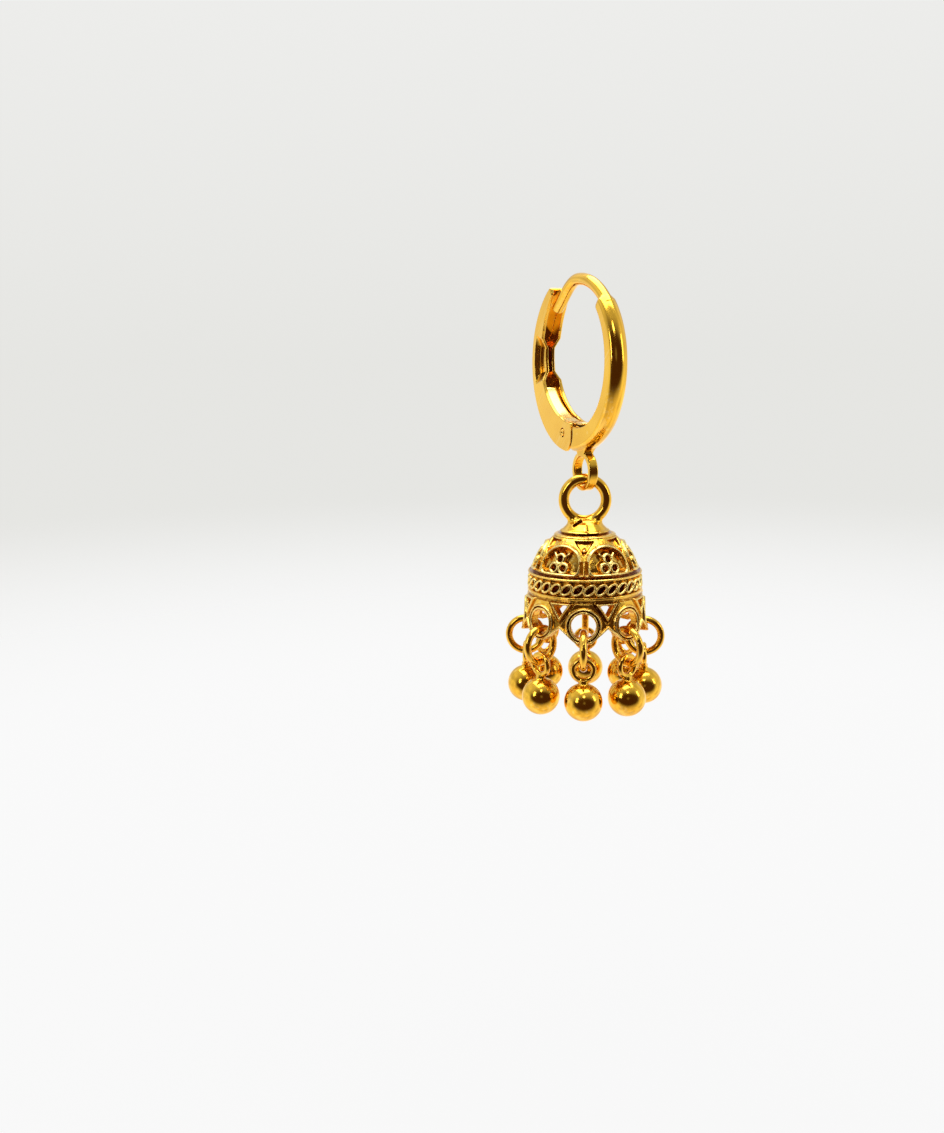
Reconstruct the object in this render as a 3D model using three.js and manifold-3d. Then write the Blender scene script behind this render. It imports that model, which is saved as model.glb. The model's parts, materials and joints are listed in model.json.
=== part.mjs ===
// A jhumka earring: a hinged hoop, an openwork bell hanging from it, and eight ball drops.
// Millimetres, +Z up. The origin is the underside of the ear wire, where the earring hangs.
// The front is -Y, the hoop lies in the YZ plane and the bell's axis is the Z axis.
import * as THREE from 'three';
import { mergeVertices } from 'three/addons/utils/BufferGeometryUtils.js';
import Module from 'manifold-3d';

const wasm = await Module();
wasm.setup();

// Hoop sizes. Angles are in degrees from the top of the hoop.
const hoopRadius = 6.9;            // outer radius of the closed hoop
const hoopSetback = 1.2;           // the hoop's centre lies behind the bell's axis
const wireDiameter = 0.95;         // ear wire
const wireDip = 0.5;               // how far the wire's free end sinks below the hoop's line
const wireDipAngle = 30;           // where the wire has sunk that far, behind the top
const wireEndAngle = 50;           // the free end, behind the top
const wireRootLap = 5;             // the wire's root inside the front arc, in degrees
const frontTopAngle = 42;          // upper end of the broad front arc, ahead of the top
const frontWidth = 1.5;            // front arc, side to side
const footDepth = 2.1;             // front arc at its foot, measured along the radius
const frontCrown = 0.35;           // rise of the front arc's rounded outer face
const frontFlare = 0.25;           // share of the front arc, at its foot, that widens to the lever

// Lever sizes.
const leverWidth = 1.76;
const leverWall = 0.28;            // cheeks of the channel
const leverWeb = 0.3;              // outer wall of the channel
const leverDepth = 2.45;           // deepest part of the cheeks, at the hinge
const leverTopAngle = 31;          // upper end of the lever, behind the top
const waistGap = 0.3;              // clear width left between the pinched cheeks
const waistLedge = 0.6;            // edge of the outer wall that the pinch leaves straight
const leverCorner = 0.12;          // broken edges along the lever's outer wall
const leverLap = 20;               // the cheeks past the hinge, in degrees
const leverOpening = 0.25;         // behind the pin, where the outer wall opens for the foot

// Hinge and spring sizes.
const hingeAngle = 168;            // the pin, behind the top
const hingeInset = 1.36;           // the pin's centre, in from the hoop's outer edge
const pinDiameter = 0.56;
const pinDimple = 0.24;            // diameter of the hollow in each end of the pin
const pinProud = 0.05;             // how far each pin end stands out of its cheek
const cheekRadius = 1.6;           // rounded front end of the cheeks, about the pin
const tongueRadius = 0.62;         // tongue of the front arc, about the pin
const hingeClearance = 0.1;        // cheeks to foot, tongue to cheeks
const pinClearance = 0.06;
const springThickness = 0.18;
const springClearance = 0.08;      // spring to cheeks and to the foot

// Eye and bail sizes.
const eyeRadius = 1.55;
const eyeStrip = 0.38;             // thickness of the eye's strip
const eyeWidth = 0.78;
const eyeBevel = 0.14;             // broken edges of the eye's strip
const neckLength = 1.87;           // the eye's neck under the foot, front to back
const neckHeight = 0.76;
const bailWire = 0.86;
const bailRadius = 1.67;           // centre line of the bail ring
const bailClearance = 0.08;
const bailSink = 0.18;             // how far the bail is sunk in the cap
const bellYaw = -28;               // the bell hangs turned by this many degrees

// Bell sizes.
const bellWall = 0.48;
const capRadius = 1.8;
const capHeight = 0.5;
const domeRadius = 4.15;
const domeHeight = 3;
const domeSwell = 3.5;             // radius towards which the dome's outline bulges
const bandRadius = 4.6;            // over the two plain lines
const bandHeight = 1.83;
const lineHeight = 0.2;            // the plain lines above and below the rope
const lineRise = 0.17;
const ropeCount = 31;
const ropeRise = 0.15;
const ropeSlant = 32;              // lean of the strands, in degrees
const strandWidth = 0.48;
const strandHeight = 1.11;
const skirtTopRadius = 4.6;
const skirtRadius = 4.95;          // at the lugs' lower edge
const skirtHeight = 3.22;
const reliefHeight = 0.15;         // raised rims on dome and skirt
const reliefWidth = 0.2;

// Sunk openwork of the dome.
const recessDepth = 0.28;          // how far the openings sink into the dome's wall
const archCount = 6;
const archHalfWidth = 1.54;
const archHeight = 2;
const archStraight = 0.35;         // upright stretch at the arch's foot
const archLift = 0.23;             // the arch's foot above the band
const scrollRadius = 0.42;         // the three small rings in each arch
const scrollHole = 0.2;
const scrollSpread = 0.38;         // the lower two rings, from the arch's middle
const scrollRise = 0.34;           // their centres above the arch's foot
const scrollStack = 0.61;          // the top ring's centre above theirs
const slotWidth = 0.17;
const slotHeight = 0.8;
const slotOffset = 0.19;           // each slot from the line between two arches
const spandrelHalfWidth = 0.42;
const spandrelHeight = 0.85;
const spandrelDrop = 0.38;         // the spandrel's upper edge below the cap
const beadRadius = 0.17;
const beadDrop = 0.77;             // the bead's centre below the spandrel's upper edge

// Piercings of the skirt.
const lugCount = 8;
const lugHoleRadius = 0.95;
const lugRadius = 1.4;
const lugRise = 1.3;               // the hole's centre above the skirt's lower edge
const valleyRise = 1.05;           // the scallop's peak above the skirt's lower edge
const windowHalfWidth = 0.56;      // the skirt's three-cornered windows
const windowHeight = 0.85;
const windowDrop = 0.37;           // their upper edge below the band

// Rings and drops.
const ringWire = 0.57;
const ringRadius = 1.365;          // centre line of a jump ring
const loopWire = 0.45;
const loopRadius = 0.8;            // centre line of a drop's loop
const linkClearance = 0.08;
const ballRadius = 1.5;
const ballNeckRadius = 0.34;
const ballNeckGap = 0.04;          // the loop's underside above the ball, bridged by the neck

// Facets, and how far cuts run past what they cut.
const bellSides = 24;              // a whole number for each arch and for each lug
const linkWireSides = 5;
const ringSides = 12;
const loopSides = 10;
const ballSides = 12;
const bailSides = 16;
const bailWireSides = 6;
const beadSides = 8;
const wireSides = 8;
const dimpleSides = 8;
const neckSides = 8;
const pinSides = 16;
const cheekSides = 36;             // the rounded seam between foot and cheeks
const hoopStep = 9;                // degrees between the hoop's sections
const overrun = 5;                 // degrees that cuts run past the lever's ends

// The front arc's depth along it, as shares of footDepth, from its top to its foot.
const frontDepths = [
  { at: 0, depth: 0.52 },
  { at: 0.35, depth: 0.63 },
  { at: 0.6, depth: 0.68 },
  { at: 0.8, depth: 0.78 },
  { at: 1, depth: 1 },
];

// The lever's depth along it, as shares of leverDepth, from its top to the hinge and past it.
const leverDepths = [
  { at: 0, depth: 0.26 },
  { at: 0.1, depth: 0.45 },
  { at: 0.23, depth: 0.61 },
  { at: 0.5, depth: 0.76 },
  { at: 0.78, depth: 0.94 },
  { at: 0.95, depth: 1 },
  { at: 1.15, depth: 0.92 },
];

// How far the cheeks are pinched in along the lever, from 0 for straight to 1 for the waist.
const leverPinch = [
  { at: 0.28, depth: 0 },
  { at: 0.34, depth: 1 },
  { at: 0.49, depth: 1 },
  { at: 0.55, depth: 0 },
];

// The spring's depth in the channel along the lever, as shares of leverDepth from the inner rim.
const springSink = [
  { at: 0.58, depth: 0.2 },
  { at: 0.78, depth: 0.1 },
  { at: 0.95, depth: 0.06 },
  { at: 1.24, depth: 0.04 },
];

// The cap's steps, as shares of capRadius and capHeight.
const capSteps = [
  { radius: 0.46, drop: 0 },
  { radius: 0.68, drop: 0.32 },
  { radius: 0.84, drop: 0.4 },
  { radius: 0.86, drop: 0.66 },
  { radius: 1.02, drop: 0.76 },
  { radius: 1.04, drop: 0.96 },
];

// Colours and finish.
const gold = { color: 0xe3a72f, metalness: 1, roughness: 0.16 };
const castGold = { color: 0xe0a436, metalness: 1, roughness: 0.26 };

// Places worked out from the sizes above.
const hoopY = hoopSetback;
const hoopZ = wireDiameter - hoopRadius;
const pinRadial = hoopRadius - hingeInset;
const pinY = hoopY + pinRadial * Math.sin(radians(hingeAngle));
const pinZ = hoopZ + pinRadial * Math.cos(radians(hingeAngle));
const hoopUnderside = hoopZ - Math.sqrt(hoopRadius ** 2 - hoopSetback ** 2);
const eyeHoleRadius = eyeRadius - eyeStrip;
const eyeZ = hoopUnderside - eyeRadius;
const bailZ = eyeZ - bailSeat() - bailRadius;
const bellTop = bailZ - bailRadius - bailWire / 2 + bailSink;
const domeTop = bellTop - capHeight;
const bandTop = domeTop - domeHeight;
const bandBottom = bandTop - bandHeight;
const bellBottom = bandBottom - skirtHeight;
const lugZ = bellBottom + lugRise;
const lugInner = skirtRadius - bellWall;
const lugOuter = skirtRadius + reliefHeight;
const hangRadius = (lugInner + lugOuter) / 2;
const ringZ = ringSeat();
const loopZ = ringZ - ringRadius + ringWire / 2 + linkClearance + loopWire / 2 - loopRadius;
const ballZ = loopZ - loopRadius - loopWire / 2 - ballNeckGap - ballRadius;

function radians(degrees) {
  return THREE.MathUtils.degToRad(degrees);
}

// The bail's wire crosses the eye turned by bellYaw, so it sits where its curve clears the eye's edge.
function bailSeat() {
  const along = (eyeWidth / 2 - eyeBevel) / Math.cos(radians(bellYaw));
  const aside = along * Math.sin(radians(bellYaw));
  const drop = bailRadius - Math.sqrt(bailRadius ** 2 - along ** 2);
  const reach = eyeHoleRadius - bailWire / 2 - bailClearance;
  return Math.sqrt(reach ** 2 - aside ** 2) - drop;
}

// A jump ring rests on the lower edge of its lug's hole, clear of both faces of the wall.
function ringSeat() {
  const inner = ringRadius - ringWire / 2;
  const halfWall = (lugOuter - lugInner) / 2;
  return lugZ - lugHoleRadius + linkClearance - Math.sqrt(inner ** 2 - halfWall ** 2);
}

// Reads a table row by row and returns the depth at a place between two rows.
function depthAt(rows, at) {
  if (at <= rows[0].at) return rows[0].depth;
  for (let i = 1; i < rows.length; i += 1) {
    if (at <= rows[i].at) {
      const share = (at - rows[i - 1].at) / (rows[i].at - rows[i - 1].at);
      return THREE.MathUtils.lerp(rows[i - 1].depth, rows[i].depth, share);
    }
  }
  return rows[rows.length - 1].depth;
}

// Turns a closed geometry into a solid that can be joined and cut.
function solid(geometry) {
  const bare = geometry.clone();
  bare.deleteAttribute('normal');
  bare.deleteAttribute('uv');
  const merged = mergeVertices(bare);
  const position = merged.getAttribute('position');
  const corners = [];
  for (let i = 0; i < merged.index.count; i += 3) {
    const [a, b, c] = [0, 1, 2].map((j) => merged.index.getX(i + j));
    if (a !== b && b !== c && c !== a) corners.push(a, b, c);
  }
  return new wasm.Manifold(new wasm.Mesh({
    numProp: 3,
    vertProperties: new Float32Array(position.array),
    triVerts: new Uint32Array(corners),
  }));
}

function geometryOf(shape) {
  const mesh = shape.getMesh();
  const geometry = new THREE.BufferGeometry();
  geometry.setAttribute('position', new THREE.BufferAttribute(mesh.vertProperties, 3));
  geometry.setIndex(new THREE.BufferAttribute(mesh.triVerts, 1));
  geometry.computeVertexNormals();
  return geometry;
}

// Joins sections set round the hoop's centre. A section lists [x, radius] corners anticlockwise.
function alongHoop(angles, sectionAt) {
  const positions = [];
  const index = [];
  const sections = angles.map(sectionAt);
  const count = sections[0].length;
  sections.forEach((section, i) => {
    const turn = radians(angles[i]);
    section.forEach(([x, r]) => {
      positions.push(x, hoopY + r * Math.sin(turn), hoopZ + r * Math.cos(turn));
    });
  });
  for (let i = 0; i + 1 < sections.length; i += 1) {
    for (let j = 0; j < count; j += 1) {
      const a = i * count + j;
      const b = i * count + (j + 1) % count;
      index.push(a, a + count, b, b, a + count, b + count);
    }
  }
  const last = (sections.length - 1) * count;
  const capOf = (section) => {
    const outline = section.map(([x, r]) => new THREE.Vector2(x, r));
    return THREE.ShapeUtils.triangulateShape(outline, []);
  };
  capOf(sections[0]).forEach(([a, b, c]) => index.push(a, b, c));
  capOf(sections[sections.length - 1]).forEach(([a, b, c]) => index.push(last + a, last + c, last + b));
  const geometry = new THREE.BufferGeometry();
  geometry.setAttribute('position', new THREE.Float32BufferAttribute(positions, 3));
  geometry.setIndex(index);
  return solid(geometry);
}

// Evenly spaced angles from one to another, both included.
function anglesFrom(start, end, step = hoopStep) {
  const count = Math.ceil((end - start) / step);
  return Array.from({ length: count + 1 }, (_, i) => start + (end - start) * i / count);
}

function polygon(radius, sides) {
  return Array.from({ length: sides }, (_, i) => {
    const turn = 2 * Math.PI * i / sides;
    return [radius * Math.cos(turn), radius * Math.sin(turn)];
  });
}

// A round bar along X.
function barAlongX(radius, length, y, z, sides = pinSides) {
  const bar = new THREE.CylinderGeometry(radius, radius, length, sides);
  return solid(bar.rotateZ(Math.PI / 2).translate(0, y, z));
}

function box(sizeX, sizeY, sizeZ, x, y, z) {
  return solid(new THREE.BoxGeometry(sizeX, sizeY, sizeZ).translate(x, y, z));
}

// The front arc: flat sides, rounded outer face, deeper towards the foot.
function frontArc() {
  const start = -180;
  const end = -frontTopAngle;
  const crownSteps = 4;
  return alongHoop(anglesFrom(start, end), (angle) => {
    const at = (end - angle) / (end - start);
    const inner = hoopRadius - footDepth * depthAt(frontDepths, at);
    const flare = Math.max(0, 1 - (1 - at) / frontFlare);
    const half = THREE.MathUtils.lerp(frontWidth, leverWidth, flare) / 2;
    const section = [[-half, inner], [half, inner]];
    for (let i = 0; i <= crownSteps; i += 1) {
      const side = 1 - 2 * i / crownSteps;
      section.push([half * side, hoopRadius - frontCrown * side ** 2]);
    }
    return section;
  });
}

function earWire() {
  const centreRadius = hoopRadius - wireDiameter / 2;
  return alongHoop(anglesFrom(-frontTopAngle - wireRootLap, wireEndAngle), (angle) => {
    const dip = wireDip * THREE.MathUtils.smoothstep(angle, 0, wireDipAngle);
    return polygon(wireDiameter / 2, wireSides).map(([x, r]) => [x, centreRadius - dip + r]);
  });
}

// The eye is turned round the X axis, so the bail keeps its clearance as the bell swings.
function eyeRing() {
  const half = eyeWidth / 2;
  const flat = half - eyeBevel;
  const profile = [
    [eyeHoleRadius, -flat],
    [eyeHoleRadius + eyeBevel, -half],
    [eyeRadius - eyeBevel, -half],
    [eyeRadius, -flat],
    [eyeRadius, flat],
    [eyeRadius - eyeBevel, half],
    [eyeHoleRadius + eyeBevel, half],
    [eyeHoleRadius, flat],
    [eyeHoleRadius, -flat],
  ].map(([r, x]) => new THREE.Vector2(r, x));
  return solid(new THREE.LatheGeometry(profile, bailSides).rotateZ(-Math.PI / 2).translate(0, 0, eyeZ));
}

function hoopFront() {
  const shoulderRadius = cheekRadius + hingeClearance;
  const shoulder = barAlongX(shoulderRadius, 2 * leverWidth, pinY, pinZ, cheekSides);
  const tongueWidth = leverWidth - 2 * leverWall - 2 * hingeClearance;
  const armLength = cheekRadius + 2 * hingeClearance;
  const armHeight = 2 * tongueRadius;
  const pinHole = barAlongX(pinDiameter / 2 + pinClearance, 2 * leverWidth, pinY, pinZ);
  const neck = box(eyeWidth, neckLength, neckHeight, 0, 0, eyeZ + eyeRadius)
    .subtract(barAlongX(eyeHoleRadius + eyeStrip / 2, 2 * eyeWidth, 0, eyeZ, bailSides));
  return frontArc()
    .subtract(shoulder)
    .add(earWire())
    .add(box(tongueWidth, armLength, armHeight, 0, pinY - armLength / 2, pinZ))
    .add(barAlongX(tongueRadius, tongueWidth, pinY, pinZ))
    .subtract(pinHole)
    .add(eyeRing())
    .add(neck);
}

function leverAngle(at) {
  return leverTopAngle + (hingeAngle - leverTopAngle) * at;
}

function leverShare(angle) {
  return (angle - leverTopAngle) / (hingeAngle - leverTopAngle);
}

function leverInner(angle) {
  return hoopRadius - leverDepth * depthAt(leverDepths, leverShare(angle));
}

// A four-cornered stretch of the lever between two widths and two radii.
function leverBlock(angles, spanAt) {
  return alongHoop(angles, (angle) => {
    const { left, right, inner, outer } = spanAt(angle);
    return [[left, inner], [right, inner], [right, outer], [left, outer]];
  });
}

function hoopLever() {
  const half = leverWidth / 2;
  const channelHalf = half - leverWall;
  const edge = leverWall / 2;
  const angles = anglesFrom(leverTopAngle, hingeAngle + leverLap);
  const turns = leverPinch.map((row) => leverAngle(row.at));
  const waistAngles = [turns[0], turns[1], (turns[1] + turns[2]) / 2, turns[2], turns[3]];
  const channelAngles = [
    ...anglesFrom(leverTopAngle - overrun, turns[0]),
    ...waistAngles.slice(1, 4),
    ...anglesFrom(turns[3], hingeAngle + leverLap + overrun),
  ];
  const body = alongHoop(angles, (angle) => [
    [-half, leverInner(angle)],
    [half, leverInner(angle)],
    [half, hoopRadius - leverCorner],
    [half - leverCorner, hoopRadius],
    [-half + leverCorner, hoopRadius],
    [-half, hoopRadius - leverCorner],
  ]);
  const channel = leverBlock(channelAngles, (angle) => {
    const pinch = depthAt(leverPinch, leverShare(angle)) * (channelHalf - waistGap / 2);
    return {
      left: pinch - channelHalf,
      right: channelHalf - pinch,
      inner: leverInner(angle) - leverDepth / 2,
      outer: hoopRadius - leverWeb,
    };
  });
  const dent = (side) => leverBlock(waistAngles, (angle) => {
    const pinch = depthAt(leverPinch, leverShare(angle)) * (channelHalf - waistGap / 2);
    const near = side * (half - pinch + (pinch > 0 ? 0 : edge));
    const far = side * (half + 2 * edge);
    return {
      left: Math.min(near, far),
      right: Math.max(near, far),
      inner: leverInner(angle) - leverDepth / 2,
      outer: hoopRadius - waistLedge,
    };
  });
  const reach = 2 * leverDepth;
  const ahead = box(2 * leverWidth, reach, 2 * reach, 0, pinY - reach / 2, pinZ)
    .subtract(barAlongX(cheekRadius, 3 * leverWidth, pinY, pinZ, cheekSides));
  const openY = pinY + leverOpening - reach / 2;
  const under = box(2 * channelHalf, reach, reach, 0, openY, pinZ - reach / 2);
  return body
    .subtract(channel)
    .subtract(dent(1))
    .subtract(dent(-1))
    .subtract(ahead)
    .subtract(under)
    .subtract(barAlongX(pinDiameter / 2 + pinClearance, 2 * leverWidth, pinY, pinZ));
}

// The leaf lies in the channel below the waist and laps over the foot.
function springLeaf() {
  const half = leverWidth / 2 - leverWall - springClearance;
  const angles = anglesFrom(leverAngle(springSink[0].at), leverAngle(springSink[3].at));
  const footInner = hoopRadius - footDepth;
  return leverBlock(angles, (angle) => {
    const sunk = leverInner(angle) + leverDepth * depthAt(springSink, leverShare(angle));
    const outer = Math.min(sunk + springThickness, footInner - springClearance);
    return { left: -half, right: half, inner: outer - springThickness, outer };
  });
}

function hingePin() {
  const length = leverWidth + 2 * pinProud;
  const dimpleDepth = pinDimple / 2;
  const dimple = barAlongX(pinDimple / 2, 2 * dimpleDepth, 0, 0, dimpleSides);
  return barAlongX(pinDiameter / 2, length, 0, 0)
    .subtract(dimple.translate([length / 2, 0, 0]))
    .subtract(dimple.translate([-length / 2, 0, 0]));
}

// Turns a profile of [radius, z] corners round the Z axis.
function turned(profile) {
  const points = profile.map(([r, z]) => new THREE.Vector2(r, z));
  return solid(new THREE.LatheGeometry(points, bellSides).rotateX(Math.PI / 2));
}

// A flat shape in x and z, pushed out along the radius at an angle round the bell.
function radialPrism(shape, degrees, inner, outer, curveSegments = 4) {
  const depth = outer - inner;
  const prism = new THREE.ExtrudeGeometry(shape, { depth, bevelEnabled: false, curveSegments });
  return solid(prism.translate(0, 0, inner).rotateX(Math.PI / 2).rotateZ(radians(degrees)));
}

// The dome's outline, moved out by a distance, from the cap down to the band.
function domeLine(offset, steps = 3) {
  const line = new THREE.QuadraticBezierCurve(
    new THREE.Vector2(capRadius, domeTop),
    new THREE.Vector2(domeSwell, domeTop - domeHeight / 3),
    new THREE.Vector2(domeRadius, bandTop),
  );
  return Array.from({ length: steps + 1 }, (_, i) => {
    const point = line.getPoint(i / steps);
    const tangent = line.getTangent(i / steps);
    return [point.x - tangent.y * offset, point.y + tangent.x * offset];
  });
}

function domeRadiusAt(z) {
  const line = domeLine(0, 24);
  const below = line.findIndex(([, height]) => height < z);
  const [r0, z0] = line[below - 1];
  const [r1, z1] = line[below];
  return THREE.MathUtils.lerp(r0, r1, (z - z0) / (z1 - z0));
}

function skirtRadiusAt(z) {
  return THREE.MathUtils.lerp(skirtTopRadius, skirtRadius, (bandBottom - z) / skirtHeight);
}

function bellShell() {
  const inside = domeLine(-bellWall, 2);
  const bandInner = bandRadius - lineRise - bellWall;
  const field = bandRadius - lineRise;
  const capLine = capSteps.slice().reverse()
    .map(({ radius, drop }) => [capRadius * radius, bellTop - capHeight * drop]);
  return turned([
    [0, inside[0][1]],
    ...inside.slice(0, -1),
    [domeRadius - bellWall, bandTop],
    [bandInner, bandBottom],
    [lugInner, bellBottom],
    [skirtRadius, bellBottom],
    [skirtTopRadius, bandBottom],
    [bandRadius, bandBottom + lineHeight / 2],
    [bandRadius, bandBottom + lineHeight],
    [field, bandBottom + 1.5 * lineHeight],
    [field - lineRise / 2, bandTop - 1.5 * lineHeight],
    [bandRadius - lineRise / 2, bandTop - lineHeight],
    [bandRadius - lineRise / 2, bandTop - lineHeight / 2],
    ...domeLine(0).reverse().slice(0, -1),
    ...capLine,
    [0, bellTop],
  ]);
}

// Thin skins that follow the dome and the skirt: raised rims are cut from them.
function domeSkin(depth, rise) {
  const under = domeLine(-depth);
  return turned([...under, ...domeLine(rise).reverse(), under[0]]);
}

function skirtSkin() {
  const sink = bellWall / 2;
  return turned([
    [skirtTopRadius - sink, bandBottom],
    [skirtRadius - sink, bellBottom],
    [skirtRadius + reliefHeight, bellBottom],
    [skirtTopRadius + reliefHeight, bandBottom],
    [skirtTopRadius - sink, bandBottom],
  ]);
}

function archShape(grow) {
  const base = bandTop + archLift;
  const half = archHalfWidth + grow;
  const rise = archHeight - archStraight + grow;
  const shape = new THREE.Shape();
  shape.moveTo(-half, base - grow);
  shape.lineTo(half, base - grow);
  shape.absellipse(0, base + archStraight, half, rise, 0, Math.PI);
  return shape;
}

function discShape(x, z, radius) {
  return new THREE.Shape().absarc(x, z, radius, 0, 2 * Math.PI);
}

// The three small rings that stand on each arch's foot.
function scrollPlaces() {
  const low = bandTop + archLift + scrollRise;
  return [[-scrollSpread, low], [scrollSpread, low], [0, low + scrollStack]];
}

function triangleShape(halfWidth, top, height) {
  const blunt = halfWidth / 5;
  const shape = new THREE.Shape();
  shape.moveTo(-halfWidth, top);
  shape.lineTo(-blunt, top - height);
  shape.lineTo(blunt, top - height);
  shape.lineTo(halfWidth, top);
  return shape;
}

function slotShape(x) {
  const base = bandTop + archLift / 2;
  const shape = new THREE.Shape();
  shape.moveTo(x - slotWidth / 2, base);
  shape.lineTo(x + slotWidth / 2, base);
  shape.lineTo(x + slotWidth / 2, base + slotHeight);
  shape.lineTo(x - slotWidth / 2, base + slotHeight);
  return shape;
}

// The gap between two lugs: from its peak down to both lugs' round edges.
function valleyShape(grow) {
  const spacing = Math.PI * 2 * skirtRadius / lugCount;
  const peak = bellBottom + valleyRise + grow;
  const radius = lugRadius - grow;
  const across = spacing / 2;
  const tall = lugZ - peak;
  const distance = Math.hypot(across, tall);
  const lean = Math.asin(radius / distance) - Math.atan2(tall, across);
  const arcSteps = 3;
  const side = [];
  for (let i = 0; i <= arcSteps; i += 1) {
    const turn = Math.PI / 2 - lean - (Math.PI / 2 - lean) * i / arcSteps;
    side.push([across - radius * Math.sin(turn), lugZ - radius * Math.cos(turn)]);
  }
  const bend = ([x, z]) => [skirtRadius * Math.sin(x / skirtRadius), z];
  const shape = new THREE.Shape();
  shape.moveTo(0, peak);
  side.map(bend).forEach(([x, z]) => shape.lineTo(x, z));
  const [edgeX] = bend(side[arcSteps]);
  shape.lineTo(edgeX, bellBottom - lugRadius);
  shape.lineTo(-edgeX, bellBottom - lugRadius);
  side.reverse().map(bend).forEach(([x, z]) => shape.lineTo(-x, z));
  return shape;
}

// Slanted strands of the rope between the two plain lines.
function ropeBand() {
  const seat = bandRadius - lineRise - bellWall / 2;
  const depth = bellWall / 2 + ropeRise;
  const strands = [];
  for (let i = 0; i < ropeCount; i += 1) {
    const strand = new THREE.BoxGeometry(strandWidth, depth, strandHeight)
      .rotateY(radians(ropeSlant))
      .translate(0, -seat - depth / 2, (bandTop + bandBottom) / 2)
      .rotateZ(2 * Math.PI * (i + 0.5) / ropeCount);
    strands.push(solid(strand));
  }
  return strands;
}

function bailRing() {
  const ring = new THREE.TorusGeometry(bailRadius, bailWire / 2, bailWireSides, bailSides);
  return solid(ring.rotateX(Math.PI / 2).translate(0, 0, bailZ));
}

function bell() {
  const inner = capRadius / 2;
  const rimInner = 1.5 * inner;
  const outer = bandRadius + bellWall;
  const far = 2 * outer;
  const union = (list) => wasm.Manifold.union(list);
  const archStep = 360 / archCount;
  const lugStep = 360 / lugCount;
  const added = [];
  const sunk = [];
  const cut = [];
  const rims = [];
  const spandrelTop = domeTop - spandrelDrop;
  const beadZ = spandrelTop - beadDrop;
  for (let i = 0; i < archCount; i += 1) {
    const middle = archStep * (i + 0.5);
    const between = archStep * i;
    rims.push(radialPrism(archShape(reliefWidth), middle, inner, outer)
      .subtract(radialPrism(archShape(0), middle, inner / 2, far)));
    const disc = ([x, z], radius, start, end) => (
      radialPrism(discShape(x, z, radius), middle, start, end, 3));
    const scrolls = scrollPlaces().map((place) => disc(place, scrollRadius, inner / 2, far));
    const holes = scrollPlaces().map((place) => disc(place, scrollHole, inner, outer));
    sunk.push(radialPrism(archShape(0), middle, inner, outer).subtract(union(scrolls)));
    sunk.push(...holes);
    const spandrel = triangleShape(spandrelHalfWidth, spandrelTop, spandrelHeight);
    sunk.push(radialPrism(spandrel, between, inner, outer));
    sunk.push(...[-slotOffset, slotOffset].map((x) => radialPrism(slotShape(x), between, inner, outer)));
    const bead = new THREE.SphereGeometry(beadRadius, beadSides, beadSides - 2).rotateX(Math.PI / 2);
    added.push(solid(bead.translate(0, -domeRadiusAt(beadZ), beadZ).rotateZ(radians(between))));
  }
  const skirtRims = [];
  for (let i = 0; i < lugCount; i += 1) {
    const middle = lugStep * i;
    const between = lugStep * (i + 0.5);
    const windowTop = bandBottom - windowDrop;
    const window = triangleShape(windowHalfWidth, windowTop, windowHeight);
    const windowRim = triangleShape(
      windowHalfWidth + reliefWidth,
      windowTop + reliefWidth / 2,
      windowHeight + reliefWidth,
    );
    const lugRim = discShape(0, lugZ, lugHoleRadius + reliefWidth);
    skirtRims.push(radialPrism(valleyShape(reliefWidth), between, rimInner, outer));
    skirtRims.push(radialPrism(windowRim, between, rimInner, outer));
    skirtRims.push(radialPrism(lugRim, middle, rimInner, outer, 5));
    cut.push(radialPrism(valleyShape(0), between, inner, far));
    cut.push(radialPrism(window, between, inner, far));
    cut.push(radialPrism(discShape(0, lugZ, lugHoleRadius), middle, inner, far, 5));
  }
  const domeRims = union(rims).intersect(domeSkin(bellWall / 2, reliefHeight));
  const lowerRims = union(skirtRims).intersect(skirtSkin());
  return bellShell()
    .add(domeRims)
    .add(lowerRims)
    .subtract(union(sunk).intersect(domeSkin(recessDepth, bellWall)))
    .subtract(union(cut))
    .add(union([...added, ...ropeBand(), bailRing()]));
}

// A jump ring hangs edge-on to the bell's wall, centred on its own origin.
function jumpRing() {
  return new THREE.TorusGeometry(ringRadius, ringWire / 2, linkWireSides, ringSides).rotateY(Math.PI / 2);
}

// A ball with its wire loop, centred on the ball.
function ballDrop() {
  const loop = new THREE.TorusGeometry(loopRadius, loopWire / 2, linkWireSides, loopSides)
    .rotateX(Math.PI / 2);
  const height = 2 * (loopWire / 2 + ballNeckGap);
  const neck = new THREE.CylinderGeometry(ballNeckRadius, ballNeckRadius, height, neckSides)
    .rotateX(Math.PI / 2);
  const ball = new THREE.SphereGeometry(ballRadius, ballSides, ballSides / 2 + 1).rotateX(Math.PI / 2);
  return solid(ball)
    .add(solid(neck.translate(0, 0, ballRadius)))
    .add(solid(loop.translate(0, 0, loopZ - ballZ)));
}

function piece(name, geometry, finish) {
  const mesh = new THREE.Mesh(geometry, new THREE.MeshStandardMaterial(finish));
  mesh.name = name;
  return mesh;
}

const earring = new THREE.Group();
earring.add(piece('hoop_front', geometryOf(hoopFront()), gold));
earring.add(piece('hoop_lever', geometryOf(hoopLever()), gold));
earring.add(piece('spring_leaf', geometryOf(springLeaf()), gold));
const pin = piece('hinge_pin', geometryOf(hingePin()), gold);
pin.position.set(0, pinY, pinZ);
earring.add(pin);

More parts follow.
